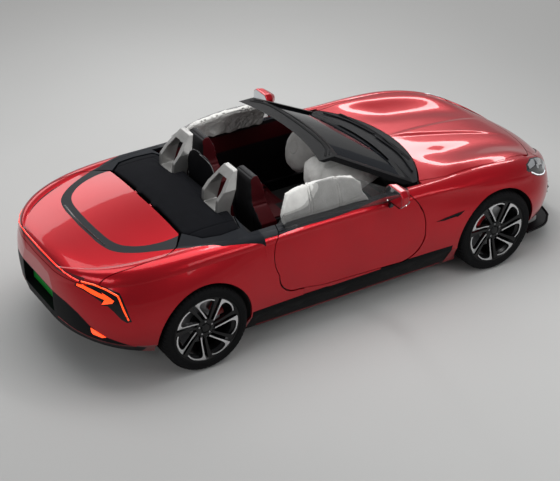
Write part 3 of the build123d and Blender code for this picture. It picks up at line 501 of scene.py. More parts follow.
def surface_patch(name, outline, aim, tree, material, body="body", height=0.003, grid=0.012, reach=0.5,
        **more):
    """A plate cut to an outline, dropped on a surface along aim, and raised a little off it."""
    aim = Vector(aim).normalized()
    across = aim.orthogonal().normalized()
    up = aim.cross(across)
    origin = sum((Vector(p) for p in outline), Vector()) / len(outline)
    flat = [Vector(((Vector(p) - origin).dot(across), (Vector(p) - origin).dot(up))) for p in outline]
    edge = []
    for a, b in zip(flat, flat[1:] + flat[:1]):
        parts = max(1, int((b - a).length / grid))
        edge += [a.lerp(b, i / parts) for i in range(parts)]
    border = [(i, (i + 1) % len(edge)) for i in range(len(edge))]
    low = [min(p[k] for p in edge) for k in (0, 1)]
    high = [max(p[k] for p in edge) for k in (0, 1)]
    inside = []
    for u in np.arange(low[0], high[0], grid):
        for v in np.arange(low[1], high[1], grid):
            spot = Vector((u, v))
            if within(u, v, edge) and min((spot - e).length for e in edge) > grid * 0.45:
                inside.append(spot)
    points, _, triangles, _, _, _ = delaunay_2d_cdt(edge + inside, border, [list(range(len(edge)))], 1, 1e-6)
    top, bottom = [], []
    for point in points:
        spot = origin + across * point.x + up * point.y
        hit, normal, _, _ = tree.ray_cast(spot - aim * reach, aim, 2 * reach)
        if hit is None:
            hit, normal, _, _ = tree.find_nearest(spot)
        if normal.dot(aim) > 0:
            normal = -normal
        top.append(hit + normal * height)
        bottom.append(hit - normal * PATCH_SINK)
    count = len(points)
    uses = {}
    for triangle in triangles:
        for a, b in zip(triangle, list(triangle[1:]) + [triangle[0]]):
            uses.setdefault(frozenset((a, b)), []).append((a, b))
    rim = [pair[0] for pair in uses.values() if len(pair) == 1]
    faces = [tuple(t) for t in triangles] + [tuple(count + i for i in reversed(t)) for t in triangles]
    faces += [(b, a, count + a, count + b) for a, b in rim]
    new_piece(name, top + bottom, faces, material, body, **more)


def within(u, v, edge):
    """Whether a point lies inside a closed line."""
    odd = False
    for a, b in zip(edge, edge[1:] + edge[:1]):
        if (a.y > v) != (b.y > v) and u < (b.x - a.x) * (v - a.y) / (b.y - a.y) + a.x:
            odd = not odd
    return odd


# ---- studio ----
PHOTO_WIDTH = 560
FOCAL_PX = 1577.96
SENSOR = 36.0
CAMERA_AT = Vector((-9.39336, 5.90371, 6.87087))
CAMERA_YAW = math.radians(-31.446)
CAMERA_PITCH = math.radians(-30.932)
BACKDROP = (0.37, 0.366, 0.36)
WORLD_LEVEL = 0.2
SKY = (0.92, 0.95, 1.0)
FLOOR_REACH = 60.0
BACKDROP_STARTS, BACKDROP_FULL = 3.2, 8.5  # distances from the car's middle


def studio():
    """The camera, the floor that fades into the backdrop, the world and the lamps."""
    scene = bpy.context.scene
    camera = link("camera", bpy.data.cameras.new("camera"))
    camera.data.sensor_width = SENSOR
    camera.data.lens = SENSOR * FOCAL_PX / PHOTO_WIDTH
    camera.data.clip_end = 200
    camera.location = CAMERA_AT
    level = math.cos(CAMERA_PITCH)
    aim = Vector((level * math.cos(CAMERA_YAW), level * math.sin(CAMERA_YAW), math.sin(CAMERA_PITCH)))
    camera.rotation_euler = aim.to_track_quat("-Z", "Y").to_euler()
    scene.camera = camera
    scene.view_settings.view_transform = "Standard"

    m = Nodes("studio_floor")
    m.colour(m.ramp(m.noise(0.35, 2), (0.3, (0.5, 0.5, 0.49)), (0.7, (0.53, 0.53, 0.52))))
    m.set(Roughness=0.8, Specular_IOR_Level=0.1)
    # far off, the camera and reflections see an even backdrop that the floor fades into
    far = m.new("VectorMath", operation="LENGTH")
    m.join(m.coords, far.inputs[0])
    share = m.stretch(far.outputs["Value"], "From", BACKDROP_STARTS, BACKDROP_FULL)
    path = m.new("LightPath").outputs
    seen = m.math("MAXIMUM", path["Is Glossy Ray"], path["Is Transmission Ray"])
    seen = m.math("MAXIMUM", path["Is Camera Ray"], seen)
    backdrop = m.new("Emission")
    m.put(BACKDROP, backdrop.inputs["Color"])
    blend = m.new("MixShader")
    m.join(m.math("MULTIPLY", share, seen), blend.inputs[0])
    m.join(m.shader.outputs[0], blend.inputs[1])
    m.join(backdrop.outputs[0], blend.inputs[2])
    m.join(blend.outputs[0], m.tree.nodes["Material Output"].inputs["Surface"])
    floor = link("studio_floor", bpy.data.meshes.new("studio_floor"))
    r = FLOOR_REACH
    floor.data.from_pydata([(-r, -r, 0), (r, -r, 0), (r, r, 0), (-r, r, 0)], [], [(0, 1, 2, 3)])
    floor.data.materials.append(m.material)

    world = bpy.data.worlds.new("studio")
    world.use_nodes = True
    nodes, join = world.node_tree.nodes, world.node_tree.links.new
    sky = nodes["Background"]
    sky.inputs["Color"].default_value = (*SKY, 1)
    sky.inputs["Strength"].default_value = WORLD_LEVEL
    kinds = ("Background", "LightPath", "Math", "MixShader")
    shown, path, either, blend = (nodes.new("ShaderNode" + kind) for kind in kinds)
    shown.inputs["Color"].default_value = (*BACKDROP, 1)
    either.operation = "MAXIMUM"
    join(path.outputs["Is Camera Ray"], either.inputs[0])
    join(path.outputs["Is Transmission Ray"], either.inputs[1])
    join(either.outputs[0], blend.inputs[0])
    join(sky.outputs[0], blend.inputs[1])
    join(shown.outputs[0], blend.inputs[2])
    join(blend.outputs[0], nodes["World Output"].inputs["Surface"])
    scene.world = world

    # name, place, size, power, what it faces
    for name, at, size, power, towards in (
        ("top_box", (0.5, 0.8, 5.2), (3.2, 6.5), 165, (0, 0.2, 0.6)),
        ("strip_right", (-2.2, -1.2, 4.6), (0.35, 6.5), 85, (-0.4, -0.9, 0.8)),
        ("strip_left", (2.6, -1.2, 4.6), (0.35, 6.5), 75, (0.4, -0.9, 0.8)),
        ("front_strip", (6.4, -6.2, 4.4), (6.5, 0.9), 140, (0, -1.2, 0.8)),
        ("right_box", (-6.5, -2.5, 3.6), (4.5, 2.0), 60, (0, -0.2, 0.6)),
        ("rear_box", (-2.5, 7.5, 4.0), (5.0, 2.0), 95, (0, 1.0, 0.6)),
        ("left_box", (6.5, 1.0, 4.0), (6.0, 2.0), 90, (0, 0, 0.8)),
    ):
        lamp = link(name, bpy.data.lights.new(name, "AREA"))
        lamp.data.shape = "RECTANGLE"
        lamp.data.size, lamp.data.size_y = size
        lamp.data.energy = power
        lamp.location = at
        lamp.rotation_euler = (Vector(towards) - Vector(at)).to_track_quat("-Z", "Y").to_euler()


studio()

# ---- wheels ----
SPOKES = 7
FIRST_CORNER = 69.0  # degrees up from level, behind the hub
MOTIF = 360 / SPOKES
LUGS = 5


def wheel_place(end, side):
    """Maps (back, up, outwards) from a wheel's centre to the car."""
    axle_y = FRONT_AXLE_Y if end == "front" else REAR_AXLE_Y
    out = -1 if side == "right" else 1
    return lambda back, up, along: Vector((out * (TREAD_X + along), axle_y + back, TYRE_R + up))


def arc_stations(table, half):
    return [(polar(r_out, t_out), polar(r_in, t_in), half - low) for r_out, t_out, r_in, t_in, low in table]


# outer radius and angle, inner radius and angle, depth below the wheel's outer plane
BRIGHT_SPOKE = [(0.08, 22, 0.083, 29, 0.036), (0.13, 10.5, 0.128, 15.5, 0.031), (0.19, 3.8, 0.18, 8.2, 0.024),
    (0.235, 0.8, 0.212, 6.2, 0.018), (0.257, -0.6, 0.229, 6.6, 0.014)]
BRIGHT_ARC = [(0.257, -0.6, 0.229, 6.6, 0.014), (0.2595, 3.5, 0.24, 8.6, 0.0135),
    (0.26, 9, 0.245, 11.5, 0.0135), (0.26, 16, 0.248, 17, 0.0135), (0.259, 24, 0.248, 24, 0.014),
    (0.254, 31, 0.244, 31, 0.016), (0.245, 38, 0.235, 38, 0.019)]
RETURN_SPOKE = [(0.073, 43, 0.073, 57, 0.04), (0.13, 41.5, 0.13, 50.5, 0.034),
    (0.19, 40.0, 0.19, 47.2, 0.027), (0.24, 38.0, 0.24, 46.5, 0.02), (0.262, 37.0, 0.262, 46.5, 0.018)]


def turned(stations, degrees):
    c, s = math.cos(math.radians(degrees)), math.sin(math.radians(degrees))
    spin = lambda p: (p[0] * c - p[1] * s, p[0] * s + p[1] * c)
    return [(spin(left), spin(right), height) for left, right, height in stations]


def lowered(stations, drop, grow):
    """The same strip a little lower and wider, for the dark body under a bright face."""
    wider = []
    for left, right, height in stations:
        a, b = Vector(left), Vector(right)
        side = (a - b).normalized() * grow
        wider.append((tuple(a + side), tuple(b - side), height - drop))
    return wider


def make_wheel(end, side):
    """A wheel: dark spokes under bright faces, barrel, hub, bolts, brake disc, tyre and caliper."""
    place = wheel_place(end, side)
    half = WHEEL_WIDTH[end] / 2
    body = f"wheel_{end}_{side}"
    bright, dark = [], []
    for i in range(SPOKES):
        angle = FIRST_CORNER + i * MOTIF
        for table in (BRIGHT_SPOKE, BRIGHT_ARC):
            stations = turned(arc_stations(table, half), angle)
            bright.append(ribbon(stations, 0.003, place))
            dark.append(ribbon(lowered(stations, 0.0022, 0.0022), 0.03, place))
        dark.append(ribbon(turned(arc_stations(RETURN_SPOKE, half), angle), 0.026, place))
    barrel = [(0.269, half - 0.01), (0.269, 0.01 - half), (0.256, 0.012 - half), (0.23, 0.044 - half),
        (0.229, 0), (0.23, half - 0.05), (0.244, half - 0.03), (0.259, half - 0.0165), (0.264, half - 0.0105)]
    dark.append(ring_mesh(barrel, 112, place))
    hub = [(0.0005, half - 0.031), (0.02, half - 0.0315), (0.03, half - 0.0335), (0.0335, half - 0.037),
        (0.0355, half - 0.044), (0.04, half - 0.044), (0.042, half - 0.0385), (0.066, half - 0.0395),
        (0.076, half - 0.044), (0.08, half - 0.06), (0.078, -0.006), (0.0005, -0.006)]
    dark.append(ring_mesh(hub, 56, place))
    new_piece(f"wheel_spokes_{end}_{side}", *join_meshes(*dark), "wheel_black", body,
        replaces=(f"rim_{end}_{side}",))
    new_piece(f"wheel_face_{end}_{side}", *join_meshes(*bright), "wheel_silver", body, sharp=20)
    lugs = []
    for i in range(LUGS):
        cu, cv = polar(0.0555, 90 + i * 360 / LUGS)
        seat = lambda u, v, a, cu=cu, cv=cv: place(u + cu, v + cv, a)
        lugs.append(ring_mesh([(0.0005, half - 0.036), (0.006, half - 0.036), (0.0075, half - 0.0372),
            (0.0075, half - 0.042), (0.0005, half - 0.042)], 6, seat))
    new_piece(f"wheel_bolts_{end}_{side}", *join_meshes(*lugs), "disc_steel", body, sharp=25)
    disc = [(0.08, -0.006), (0.1, -0.0058), (0.104, -0.0064), (0.176, -0.0064), (0.18, -0.009),
        (0.18, -0.014), (0.172, -0.0145), (0.172, -0.0215), (0.18, -0.022), (0.18, -0.029), (0.176, -0.03),
        (0.024, -0.03), (0.024, -0.01)]
    new_piece(f"brake_disc_{end}_{side}", *ring_mesh(disc, 96, place), "disc_steel", body)
    make_tyre(end, side, place, half)
    make_caliper(end, side, place)


def make_tyre(end, side, place, half):
    """Tyre with a rim guard, sidewall ribs, four grooves round the tread and cut shoulder blocks."""
    wall = [(0.2705, half - 0.01), (0.276, half - 0.0045), (0.28, half - 0.0012), (0.284, half - 0.0002),
        (0.288, half - 0.001), (0.29, half - 0.0032), (0.296, half - 0.0022), (0.2975, half - 0.001),
        (0.299, half - 0.0022), (0.308, half - 0.001), (0.317, half - 0.0022), (0.3185, half - 0.0012),
        (0.32, half - 0.003), (0.33, half - 0.0068), (0.338, half - 0.013), (0.3435, half - 0.02),
        (0.3475, half - 0.027), (0.35, half - 0.035)]
    tread = []
    centres = (0.58, 0.2)
    flat = half - 0.035
    for share in centres:
        middle = flat * share
        tread += [(0.3512, middle + 0.0065), (0.3445, middle + 0.005), (0.3445, middle - 0.005),
            (0.3512, middle - 0.0065)]
    front_half = wall + tread
    profile = front_half + [(r, -a) for r, a in reversed(front_half)]
    count = len(profile)
    shoulder = set(range(14, 19)) | set(range(count - 19, count - 14))
    block = set(range(17, len(front_half))) | set(range(len(front_half), count - 17))

    def cuts(i, j, radius, along):
        if j in shoulder and i % 6 in (0, 1):
            return radius - 0.0045, along * 0.992
        if j in block and radius > 0.35 and (i + j * 2) % 6 == 0:
            return radius - 0.0025, along
        return radius, along

    new_piece(f"tyre_dressed_{end}_{side}", *ring_mesh(profile, 360, place, shape=cuts), "rubber",
        f"wheel_{end}_{side}", sharp=28, replaces=(f"tyre_{end}_{side}",), slot="tyre_rubber")


def make_caliper(end, side, place):
    """Brake caliper over the disc: rear of the front wheel, front of the rear wheel."""
    start, stop = (8, 62) if end == "front" else (128, 172)
    steps = 12
    blocks = []
    for low, high, near, far in ((-0.056, -0.037, 0.118, 0.196), (0.001, 0.023, 0.118, 0.196),
            (-0.056, 0.023, 0.186, 0.199)):
        stations = []
        for i in range(steps + 1):
            angle = start + (stop - start) * i / steps
            swell = 1 - 0.1 * abs(2 * i / steps - 1) ** 3
            stations.append((polar(far * swell if far < 0.198 else far, angle), polar(near, angle), high))
        blocks.append(ribbon(stations, high - low, place))
    carrier = f"knuckle_front_{side}" if end == "front" else "body"
    new_piece(f"caliper_{end}_{side}", *join_meshes(*blocks), "caliper_red", carrier)


for wheel_end in ("front", "rear"):
    for wheel_side in ("right", "left"):
        make_wheel(wheel_end, wheel_side)

# ---- bonnet and front wings ----
FINE_EDGE = 0.022
SLOPE_STEP = 0.004
SCULPT_REAR = -0.62  # edges behind this are left as they are


def ease(value, low, high):
    """A smooth step from 0 at low to 1 at high."""
    t = max(0.0, min(1.0, (value - low) / (high - low)))
    return t * t * (3 - 2 * t)


def rise(x, y):
    """How far the bonnet's crests stand above its plain surface, and its valleys below."""
    half = abs(x)
    along = ease(y, -2.02, -1.66) * (1 - ease(y, -1.15, -0.8))
    edge = 1 - ease(half, 0.74, 0.84)
    crest = 0.019 * math.exp(-((half - 0.64 - 0.1 * (y + 1.4)) / 0.105) ** 2)
    valley = -0.015 * math.exp(-((half - 0.38 - 0.06 * (y + 1.4)) / 0.115) ** 2)
    spine_half = 0.135 - 0.16 * (y + 1.5)
    spine = 0.01 * (1 - ease(half, spine_half - 0.055, spine_half))
    return along * edge * (crest + valley + spine)


def flare(y, z):
    """How far the crease along the front wing stands out."""
    along = ease(y, -1.86, -1.6) * (1 - ease(y, -0.92, -0.64))
    line = 0.875 - 0.1 * ease(-y, 0.75, 1.55) - 0.05 * ease(-y, 1.4, 1.8)
    over = z - line
    return along * (0.009 * math.exp(-(over / 0.03) ** 2) - 0.006 * math.exp(-((over + 0.085) / 0.055) ** 2))


def top_share(z):
    """1 on the upper faces, where the crests apply, and 0 on the flanks."""
    return ease(z, 0.66, 0.74)


def out_share(x):
    """The flanks' share of the flare, with the side's sign."""
    return math.copysign(ease(abs(x), 0.7, 0.82), x)


def slopes(height, u, v, share):
    """The slopes of height(u, v) along u and v, by small steps."""
    d = SLOPE_STEP
    along_u = (height(u + d, v) - height(u - d, v)) / (2 * d) * share
    return along_u, (height(u, v + d) - height(u, v - d)) / (2 * d) * share


def sculpt(name, node, body="body"):
    """A finer copy of a CAD panel, with its crests and creases, that keeps the panel's smooth shading."""
    source = NODES[node].data
    corner = [Vector(n.vector) for n in source.corner_normals]
    corners = [tuple(source.vertices[source.loops[i].vertex_index].co.copy() for i in face.loop_indices)
        for face in source.polygons]
    leans = [tuple(corner[i] for i in face.loop_indices) for face in source.polygons]
    shell = shell_of(source)
    origin = shell.faces.layers.int.new("origin")
    for i, face in enumerate(shell.faces):
        face[origin] = i
    for _ in range(8):
        front = [e for e in shell.edges if min(v.co.y for v in e.verts) < SCULPT_REAR]
        long = [e for e in front if e.calc_length() > FINE_EDGE]
        if not long:
            break
        bmesh.ops.subdivide_edges(shell, edges=long, cuts=1)
        bmesh.ops.triangulate(shell, faces=[f for f in shell.faces if len(f.verts) > 3])
    piece = from_shell(name, shell)
    mesh = piece.data
    source_of = [item.value for item in mesh.attributes["origin"].data]
    normals = [Vector((0, 0, 1))] * len(mesh.loops)
    for face in mesh.polygons:
        a, b, c = corners[source_of[face.index]][:3]
        na, nb, nc = leans[source_of[face.index]][:3]
        for i in face.loop_indices:
            x, y, z = mesh.vertices[mesh.loops[i].vertex_index].co
            lean = barycentric_transform(Vector((x, y, z)), a, b, c, na, nb, nc)
            slope_x, slope_y = slopes(rise, x, y, top_share(z))
            bend_y, bend_z = slopes(flare, y, z, out_share(x))
            normals[i] = Vector((lean.x - slope_x * lean.z, lean.y - slope_y * lean.z - bend_y * lean.x,
                lean.z - bend_z * lean.x)).normalized()
    for vertex in mesh.vertices:
        x, y, z = vertex.co
        vertex.co.z += rise(x, y) * top_share(z)
        vertex.co.x += flare(y, z) * out_share(x)
        vertex.co.y = max(vertex.co.y, NOSE_FLAT)
    cover(piece, "red_paint")
    mesh.normals_split_custom_set(normals)
    mesh.attributes.remove(mesh.attributes["origin"])
    declare(piece, body, "red_paint", node)


sculpt("hood_panel", "hood", "hood")
sculpt("wing_panels", "front_fenders")
sculpt("nose_panel", "front_bumper")


def across(half):
    """A line over the whole width from its right half, which ends on the middle."""
    return half + [(-x, y, z) for x, y, z in reversed(half[:-1])]


def pairs(points, sign):
    """The same line on the side that the sign names."""
    return [(-sign * abs(x), y, z) for x, y, z in points]


def window(middle, wide, y, low, high):
    """A rectangle facing back."""
    return [(middle - wide, y, low), (middle + wide, y, low), (middle + wide, y, high),
        (middle - wide, y, high)]


LIP_PLAN = [(0, -2.24), (0.33, -2.212), (0.611, -2.141), (0.68, -2.095), (0.755, -2.003), (0.791, -1.788)]
LIP_DEEP = 0.1
LIP_FOOT = 0.134
LIP_THICK = 0.016


def make_lip():
    """The splitter as a thin lip with a turned-up outer edge."""
    points = [Vector((x, y, 0)) for x, y in LIP_PLAN]
    line = smooth_line([(-p.x, p.y, 0) for p in reversed(points[1:])] + points, 0.03)
    vertices = []
    for i, point in enumerate(line):
        ahead = heading(line, i).normalized()
        inwards = Vector((-ahead.y, ahead.x, 0))
        for deep, height in ((0, 0.022), (0.004, 0), (LIP_DEEP, 0), (LIP_DEEP, LIP_THICK), (0.02, LIP_THICK),
                (0.006, 0.026)):
            vertices.append(point + inwards * deep + Vector((0, 0, LIP_FOOT + height)))
    new_piece("front_lip", vertices, tube_faces(len(line), 6), "satin_black", replaces=("front_splitter",))


NOSE_TREE = node_tree(["front_bumper", "front_fenders", "headlamps", "hood"])
AHEAD = (0, 1, 0)
BACK = (0, -1, 0)
DOWN = (0, 0, -1)


def make_nose():
    """Headlamps with their inner reflectors, the lower intake with its slats, and the corner intakes."""
    lens = [(0.8, -1.69, 0.822), (0.718, -1.794, 0.813), (0.668, -1.904, 0.772), (0.643, -1.984, 0.726),
        (0.62, -2.05, 0.65), (0.7, -1.99, 0.632), (0.76, -1.925, 0.64), (0.81, -1.819, 0.685),
        (0.838, -1.72, 0.752), (0.837, -1.669, 0.79)]
    upper = [(0.8, -1.705, 0.815), (0.735, -1.785, 0.808), (0.715, -1.835, 0.795), (0.77, -1.8, 0.77),
        (0.822, -1.715, 0.785)]
    middle = [(0.704, -1.85, 0.788), (0.672, -1.915, 0.76), (0.664, -1.95, 0.738), (0.715, -1.92, 0.722),
        (0.755, -1.85, 0.745)]
    lower = [(0.66, -1.985, 0.706), (0.64, -2.03, 0.665), (0.705, -1.975, 0.65), (0.735, -1.935, 0.685)]
    running = [(0.828, -1.735, 0.752), (0.8, -1.83, 0.69), (0.752, -1.922, 0.65), (0.7, -1.982, 0.64)]
    corner = [(0.6, -2.16, 0.47), (0.7, -2.075, 0.48), (0.715, -2.06, 0.44), (0.69, -2.085, 0.33),
        (0.64, -2.12, 0.29), (0.6, -2.16, 0.3)]
    for side, sign in SIDES:
        aim = (0.6 * sign, 0.62, -0.5)
        flat_aim = (0.45 * sign, 0.89, 0)
        surface_patch(f"headlamp_lens_{side}", pairs(lens, sign), aim, NOSE_TREE, "lamp_dark", height=0.002)
        for name, outline in (("upper", upper), ("middle", middle), ("lower", lower)):
            surface_patch(f"headlamp_{name}_{side}", pairs(outline, sign), aim, NOSE_TREE, "reflector",
                height=0.0045)
        surface_band(f"running_light_{side}", pairs(running, sign), 0.01, NOSE_TREE, "lamp_white",
            height=0.005)
        for i, (y, z) in enumerate(((-1.835, 0.748), (-1.93, 0.7))):
            centre = Vector((-sign * (0.765 - 0.055 * i), y, z))
            turns = [math.tau * t / 14 for t in range(14)]
            ring = [centre + Vector((-sign * 0.55, 0.62, 0.0)) * 0.024 * math.cos(turn)
                + Vector((0, 0.2, 1)) * 0.022 * math.sin(turn) for turn in turns]
            surface_patch(f"headlamp_projector_{i}_{side}", ring, aim, NOSE_TREE, "mirror_glass",
                height=0.007, grid=0.008)
        surface_patch(f"corner_intake_{side}", pairs(corner, sign), flat_aim, NOSE_TREE, "satin_black",
            height=0.002)
        for i in range(3):
            z = 0.345 + 0.05 * i
            vane = [(0.608, -2.155, z), (0.65, -2.115, z), (0.688 + 0.006 * i, -2.085, z + 0.004)]
            surface_band(f"corner_vane_{i}_{side}", pairs(vane, sign), 0.01, NOSE_TREE, "gloss_black",
                height=0.008)
    mouth = [(-0.56, -2.18, 0.262), (-0.52, -2.19, 0.372), (-0.4, -2.215, 0.4), (0, -2.25, 0.404),
        (0.4, -2.215, 0.4), (0.52, -2.19, 0.372), (0.56, -2.18, 0.262), (0.3, -2.22, 0.236),
        (-0.3, -2.22, 0.236)]
    surface_patch("intake_mouth", mouth, AHEAD, NOSE_TREE, "satin_black", height=0.002, grid=0.02)
    for i in range(5):
        z = 0.262 + 0.028 * i
        reach = 0.53 - 0.01 * i
        slat = across([(-reach, -2.19, z), (-reach / 2, -2.225, z), (0, -2.24, z)])
        surface_band(f"intake_slat_{i}", slat, 0.007, NOSE_TREE, "gloss_black", height=0.0045, step=0.03)
    for i in range(9):
        x = -0.44 + 0.11 * i
        post = [(x, -2.22, 0.254), (x, -2.225, 0.32), (x, -2.225, 0.386)]
        surface_band(f"intake_post_{i}", post, 0.006, NOSE_TREE, "gloss_black", height=0.0035, step=0.03)


# ---- cabin trim ----
def make_cabin():
    """Seals on the windscreen's header, the dashboard's trim, the console and the deflector's piping."""
    header = node_tree(["windscreen_frame"])
    ridge = across([(-0.56, 0.1, 1.28), (-0.456, 0.03, 1.284), (-0.31, 0.0, 1.285), (0, -0.012, 1.285)])
    surface_band("header_seal", ridge, 0.02, header, "rubber", height=0.004)
    front = [(x, y - 0.034, z - 0.002) for x, y, z in ridge]
    surface_band("header_seal_front", front, 0.01, header, "rubber", height=0.004)
    dash = node_tree(["dashboard"])
    trim = across([(-0.69, -0.4, 0.8), (-0.35, -0.39, 0.8), (0, -0.39, 0.8)])
    surface_band("dash_trim_strip", trim, 0.06, dash, "dash_red", height=0.004)
    for name, middle, wide in (("centre", 0.0, 0.14), ("driver", 0.37, 0.125)):
        screen = window(middle, wide, -0.36, 0.775, 0.87)
        surface_patch(f"dash_screen_{name}", screen, BACK, dash, "gloss_black", height=0.008, grid=0.03,
            reach=0.3, slot="dash_trim")
    for side in (-1, 1):
        for x in (0.22, 0.64):
            vent = window(side * x, 0.03, -0.37, 0.815, 0.845)
            surface_patch(f"dash_vent_{'l' if side > 0 else 'r'}_{int(x * 100)}", vent, BACK, dash, "chrome",
                height=0.01, grid=0.02, reach=0.3, slot="dash_trim")
    console = node_tree(["console"])
    for name, wide, front, back, finish, height, grid, slot in (
        ("console_panel", 0.07, -0.3, 0.1, "gloss_black", 0.003, 0.04, "dash_trim"),
        ("armrest_pad", 0.095, 0.16, 0.52, "leather_red", 0.014, 0.03, "seat_leather"),
    ):
        outline = [(-wide, front, 0.62), (wide, front, 0.62), (wide, back, 0.62), (-wide, back, 0.62)]
        surface_patch(name, outline, DOWN, console, finish, height=height, grid=grid, reach=0.3, slot=slot)
    deflector = node_tree(["wind_deflector"])
    piping = across([(-0.205, 0.862, 0.965), (-0.205, 0.862, 1.15), (-0.165, 0.862, 1.225),
        (-0.08, 0.862, 1.248), (0, 0.862, 1.25)])
    surface_band("deflector_piping", piping, 0.006, deflector, "rubber_grey", height=0.003)


def welded(node):
    """A bmesh of a CAD node with its corners joined."""
    shell = shell_of(NODES[node].data)
    bmesh.ops.remove_doubles(shell, verts=shell.verts, dist=1e-5)
    return shell


def settle(piece):
    """Applies a piece's modifiers."""
    bpy.context.view_layer.update()
    graph = bpy.context.evaluated_depsgraph_get()
    mesh = bpy.data.meshes.new_from_object(piece.evaluated_get(graph))
    piece.modifiers.clear()
    piece.data = mesh


def remesh(piece, voxel):
    skin = piece.modifiers.new("remesh", "REMESH")
    skin.mode = "VOXEL"
    skin.voxel_size = voxel


def smooth_out(piece, rounds):
    piece.modifiers.new("smooth", "SMOOTH").iterations = rounds
    settle(piece)


def round_mirror(side):
    """The mirror as a rounded shell: painted cap, black foot and the glass facing back."""
    piece = from_shell(f"mirror_shell_{side}", welded(f"mirror_{side}"))
    remesh(piece, 0.0045)
    smooth_out(piece, 14)
    cover(piece, "red_paint_plain", "mirror_glass", "gloss_black")
    for face in piece.data.polygons:
        facing_back = face.normal.y > 0.93 and face.center.z > 0.975
        face.material_index = 1 if facing_back else (2 if face.center.z < 0.99 else 0)
    declare(piece, f"door_{side}", "red_paint", f"mirror_{side}")


def soften_edges():
    """Rounds the sharp edges of hard trim a little."""
    for name, width in (("roll_hoops", 0.006), ("dashboard", 0.01), ("console", 0.008),
            ("side_skirts", 0.003), ("windscreen_frame", 0.004), ("wind_deflector", 0.003)):
        weld = NODES[name].modifiers.new("weld", "WELD")
        weld.merge_threshold = 1e-5
        bevel = NODES[name].modifiers.new("soft_edges", "BEVEL")
        bevel.width = width
        bevel.segments = 3
        bevel.limit_method = "ANGLE"
        bevel.angle_limit = math.radians(35)
        bevel.harden_normals = False


# ---- tail ----
TAIL_TREE = node_tree(["rear_bumper", "rear_quarters", "tail_lamps", "light_bar", "boot_lid",
    "rear_diffuser"])
LID_TREE = node_tree(["boot_lid"])


def make_tail():
    """Tail lamps, light bar, reflectors, the brake light's slot and the bumper's stripe."""
    lamp = [(0.5, 2.186, 0.808), (0.54, 2.16, 0.842), (0.619, 2.096, 0.845), (0.693, 2.034, 0.826),
        (0.768, 1.966, 0.792), (0.789, 1.957, 0.761), (0.826, 1.941, 0.68), (0.853, 1.919, 0.582),
        (0.837, 1.95, 0.574), (0.817, 1.98, 0.598), (0.777, 2.021, 0.661), (0.741, 2.05, 0.698),
        (0.707, 2.082, 0.697), (0.703, 2.078, 0.722), (0.631, 2.124, 0.758), (0.575, 2.154, 0.776),
        (0.501, 2.189, 0.788)]
    arrow = [(0.517, 2.177, 0.81), (0.561, 2.149, 0.812), (0.634, 2.106, 0.795), (0.701, 2.058, 0.772),
        (0.688, 2.064, 0.786), (0.728, 2.034, 0.764), (0.763, 2.006, 0.738), (0.758, 2.019, 0.72),
        (0.708, 2.082, 0.704), (0.717, 2.059, 0.741), (0.631, 2.121, 0.768), (0.575, 2.151, 0.787),
        (0.516, 2.18, 0.794)]
    line = [(0.545, 2.156, 0.836), (0.625, 2.095, 0.833), (0.7, 2.035, 0.809), (0.766, 1.98, 0.774),
        (0.783, 1.974, 0.749), (0.815, 1.96, 0.672), (0.841, 1.938, 0.593)]
    reflector = [(0.635, 2.146, 0.487), (0.674, 2.117, 0.466), (0.721, 2.069, 0.425), (0.695, 2.087, 0.413),
        (0.639, 2.133, 0.429), (0.631, 2.142, 0.451)]
    for side, sign in SIDES:
        aim = (0.45 * sign, -0.85, -0.1)
        surface_patch(f"lamp_surround_{side}", pairs(lamp, sign), aim, TAIL_TREE, "gloss_black", height=0.002)
        surface_patch(f"lamp_arrow_{side}", pairs(arrow, sign), aim, TAIL_TREE, "lamp_orange", height=0.0045)
        surface_band(f"lamp_line_{side}", pairs(line, sign), 0.0125, TAIL_TREE, "lamp_orange", height=0.0055,
            smooth=False)
        # the reflectors take the lamps' glowing orange: a painted glow, since a reflector gives no light of
        # its own
        surface_patch(f"reflector_{side}", pairs(reflector, sign), aim, TAIL_TREE, "lamp_orange")
    bar = across([(-0.528, 2.166, 0.834), (-0.495, 2.182, 0.838), (-0.425, 2.207, 0.847),
        (-0.278, 2.226, 0.853), (-0.126, 2.232, 0.858), (0, 2.234, 0.859)])
    surface_band("light_line", bar, 0.0085, TAIL_TREE, "lamp_red_bright", "boot_lid", height=0.003)
    slot_line = across([(-0.345, 1.866, 0.943), (-0.272, 1.871, 0.945), (-0.158, 1.88, 0.947),
        (0, 1.884, 0.949)])
    surface_band("brake_light_slot", slot_line, 0.012, LID_TREE, "gloss_black", "boot_lid", height=0.0015)
    surface_band("brake_light_lens", slot_line[1:-1], 0.004, LID_TREE, "lens_dark_red", "boot_lid",
        height=0.0022)
    for side, sign in SIDES:
        stripe = pairs([(0.3, 2.262, 0.428), (0.38, 2.24, 0.42), (0.51, 2.195, 0.392), (0.64, 2.125, 0.352),
            (0.75, 2.025, 0.318), (0.85, 1.9, 0.292)], sign)
        surface_band(f"tail_stripe_{side}", stripe, 0.006, TAIL_TREE, "stripe_red")


# ---- sides ----
def slab(rows, depth, sign):
    """A closed plate from rows of outer points, thickened inwards."""
    across = len(rows[0])
    outer = [point for row in rows for point in row]
    inner = [point + Vector((sign * depth, 0, 0)) for point in outer]
    count = len(outer)
    faces = []
    for i in range(len(rows) - 1):
        for j in range(across - 1):
            a = i * across + j
            quad = (a, a + 1, a + across + 1, a + across)
            faces += [quad, tuple(count + k for k in reversed(quad))]
    last = (len(rows) - 1) * across
    rim = list(range(across)) + [across * i + across - 1 for i in range(1, len(rows))]
    rim += [last + j for j in reversed(range(across - 1))]
    rim += [across * i for i in reversed(range(1, len(rows) - 1))]
    faces += [(a, b, count + b, count + a) for a, b in zip(rim, rim[1:] + rim[:1])]
    return outer + inner, faces


SILL_X, SILL_FOOT = 0.892, 0.352
SILL_REAR, SILL_FRONT = 0.497, -0.3
SILL_GAP = 0.005  # below the door's lower edge


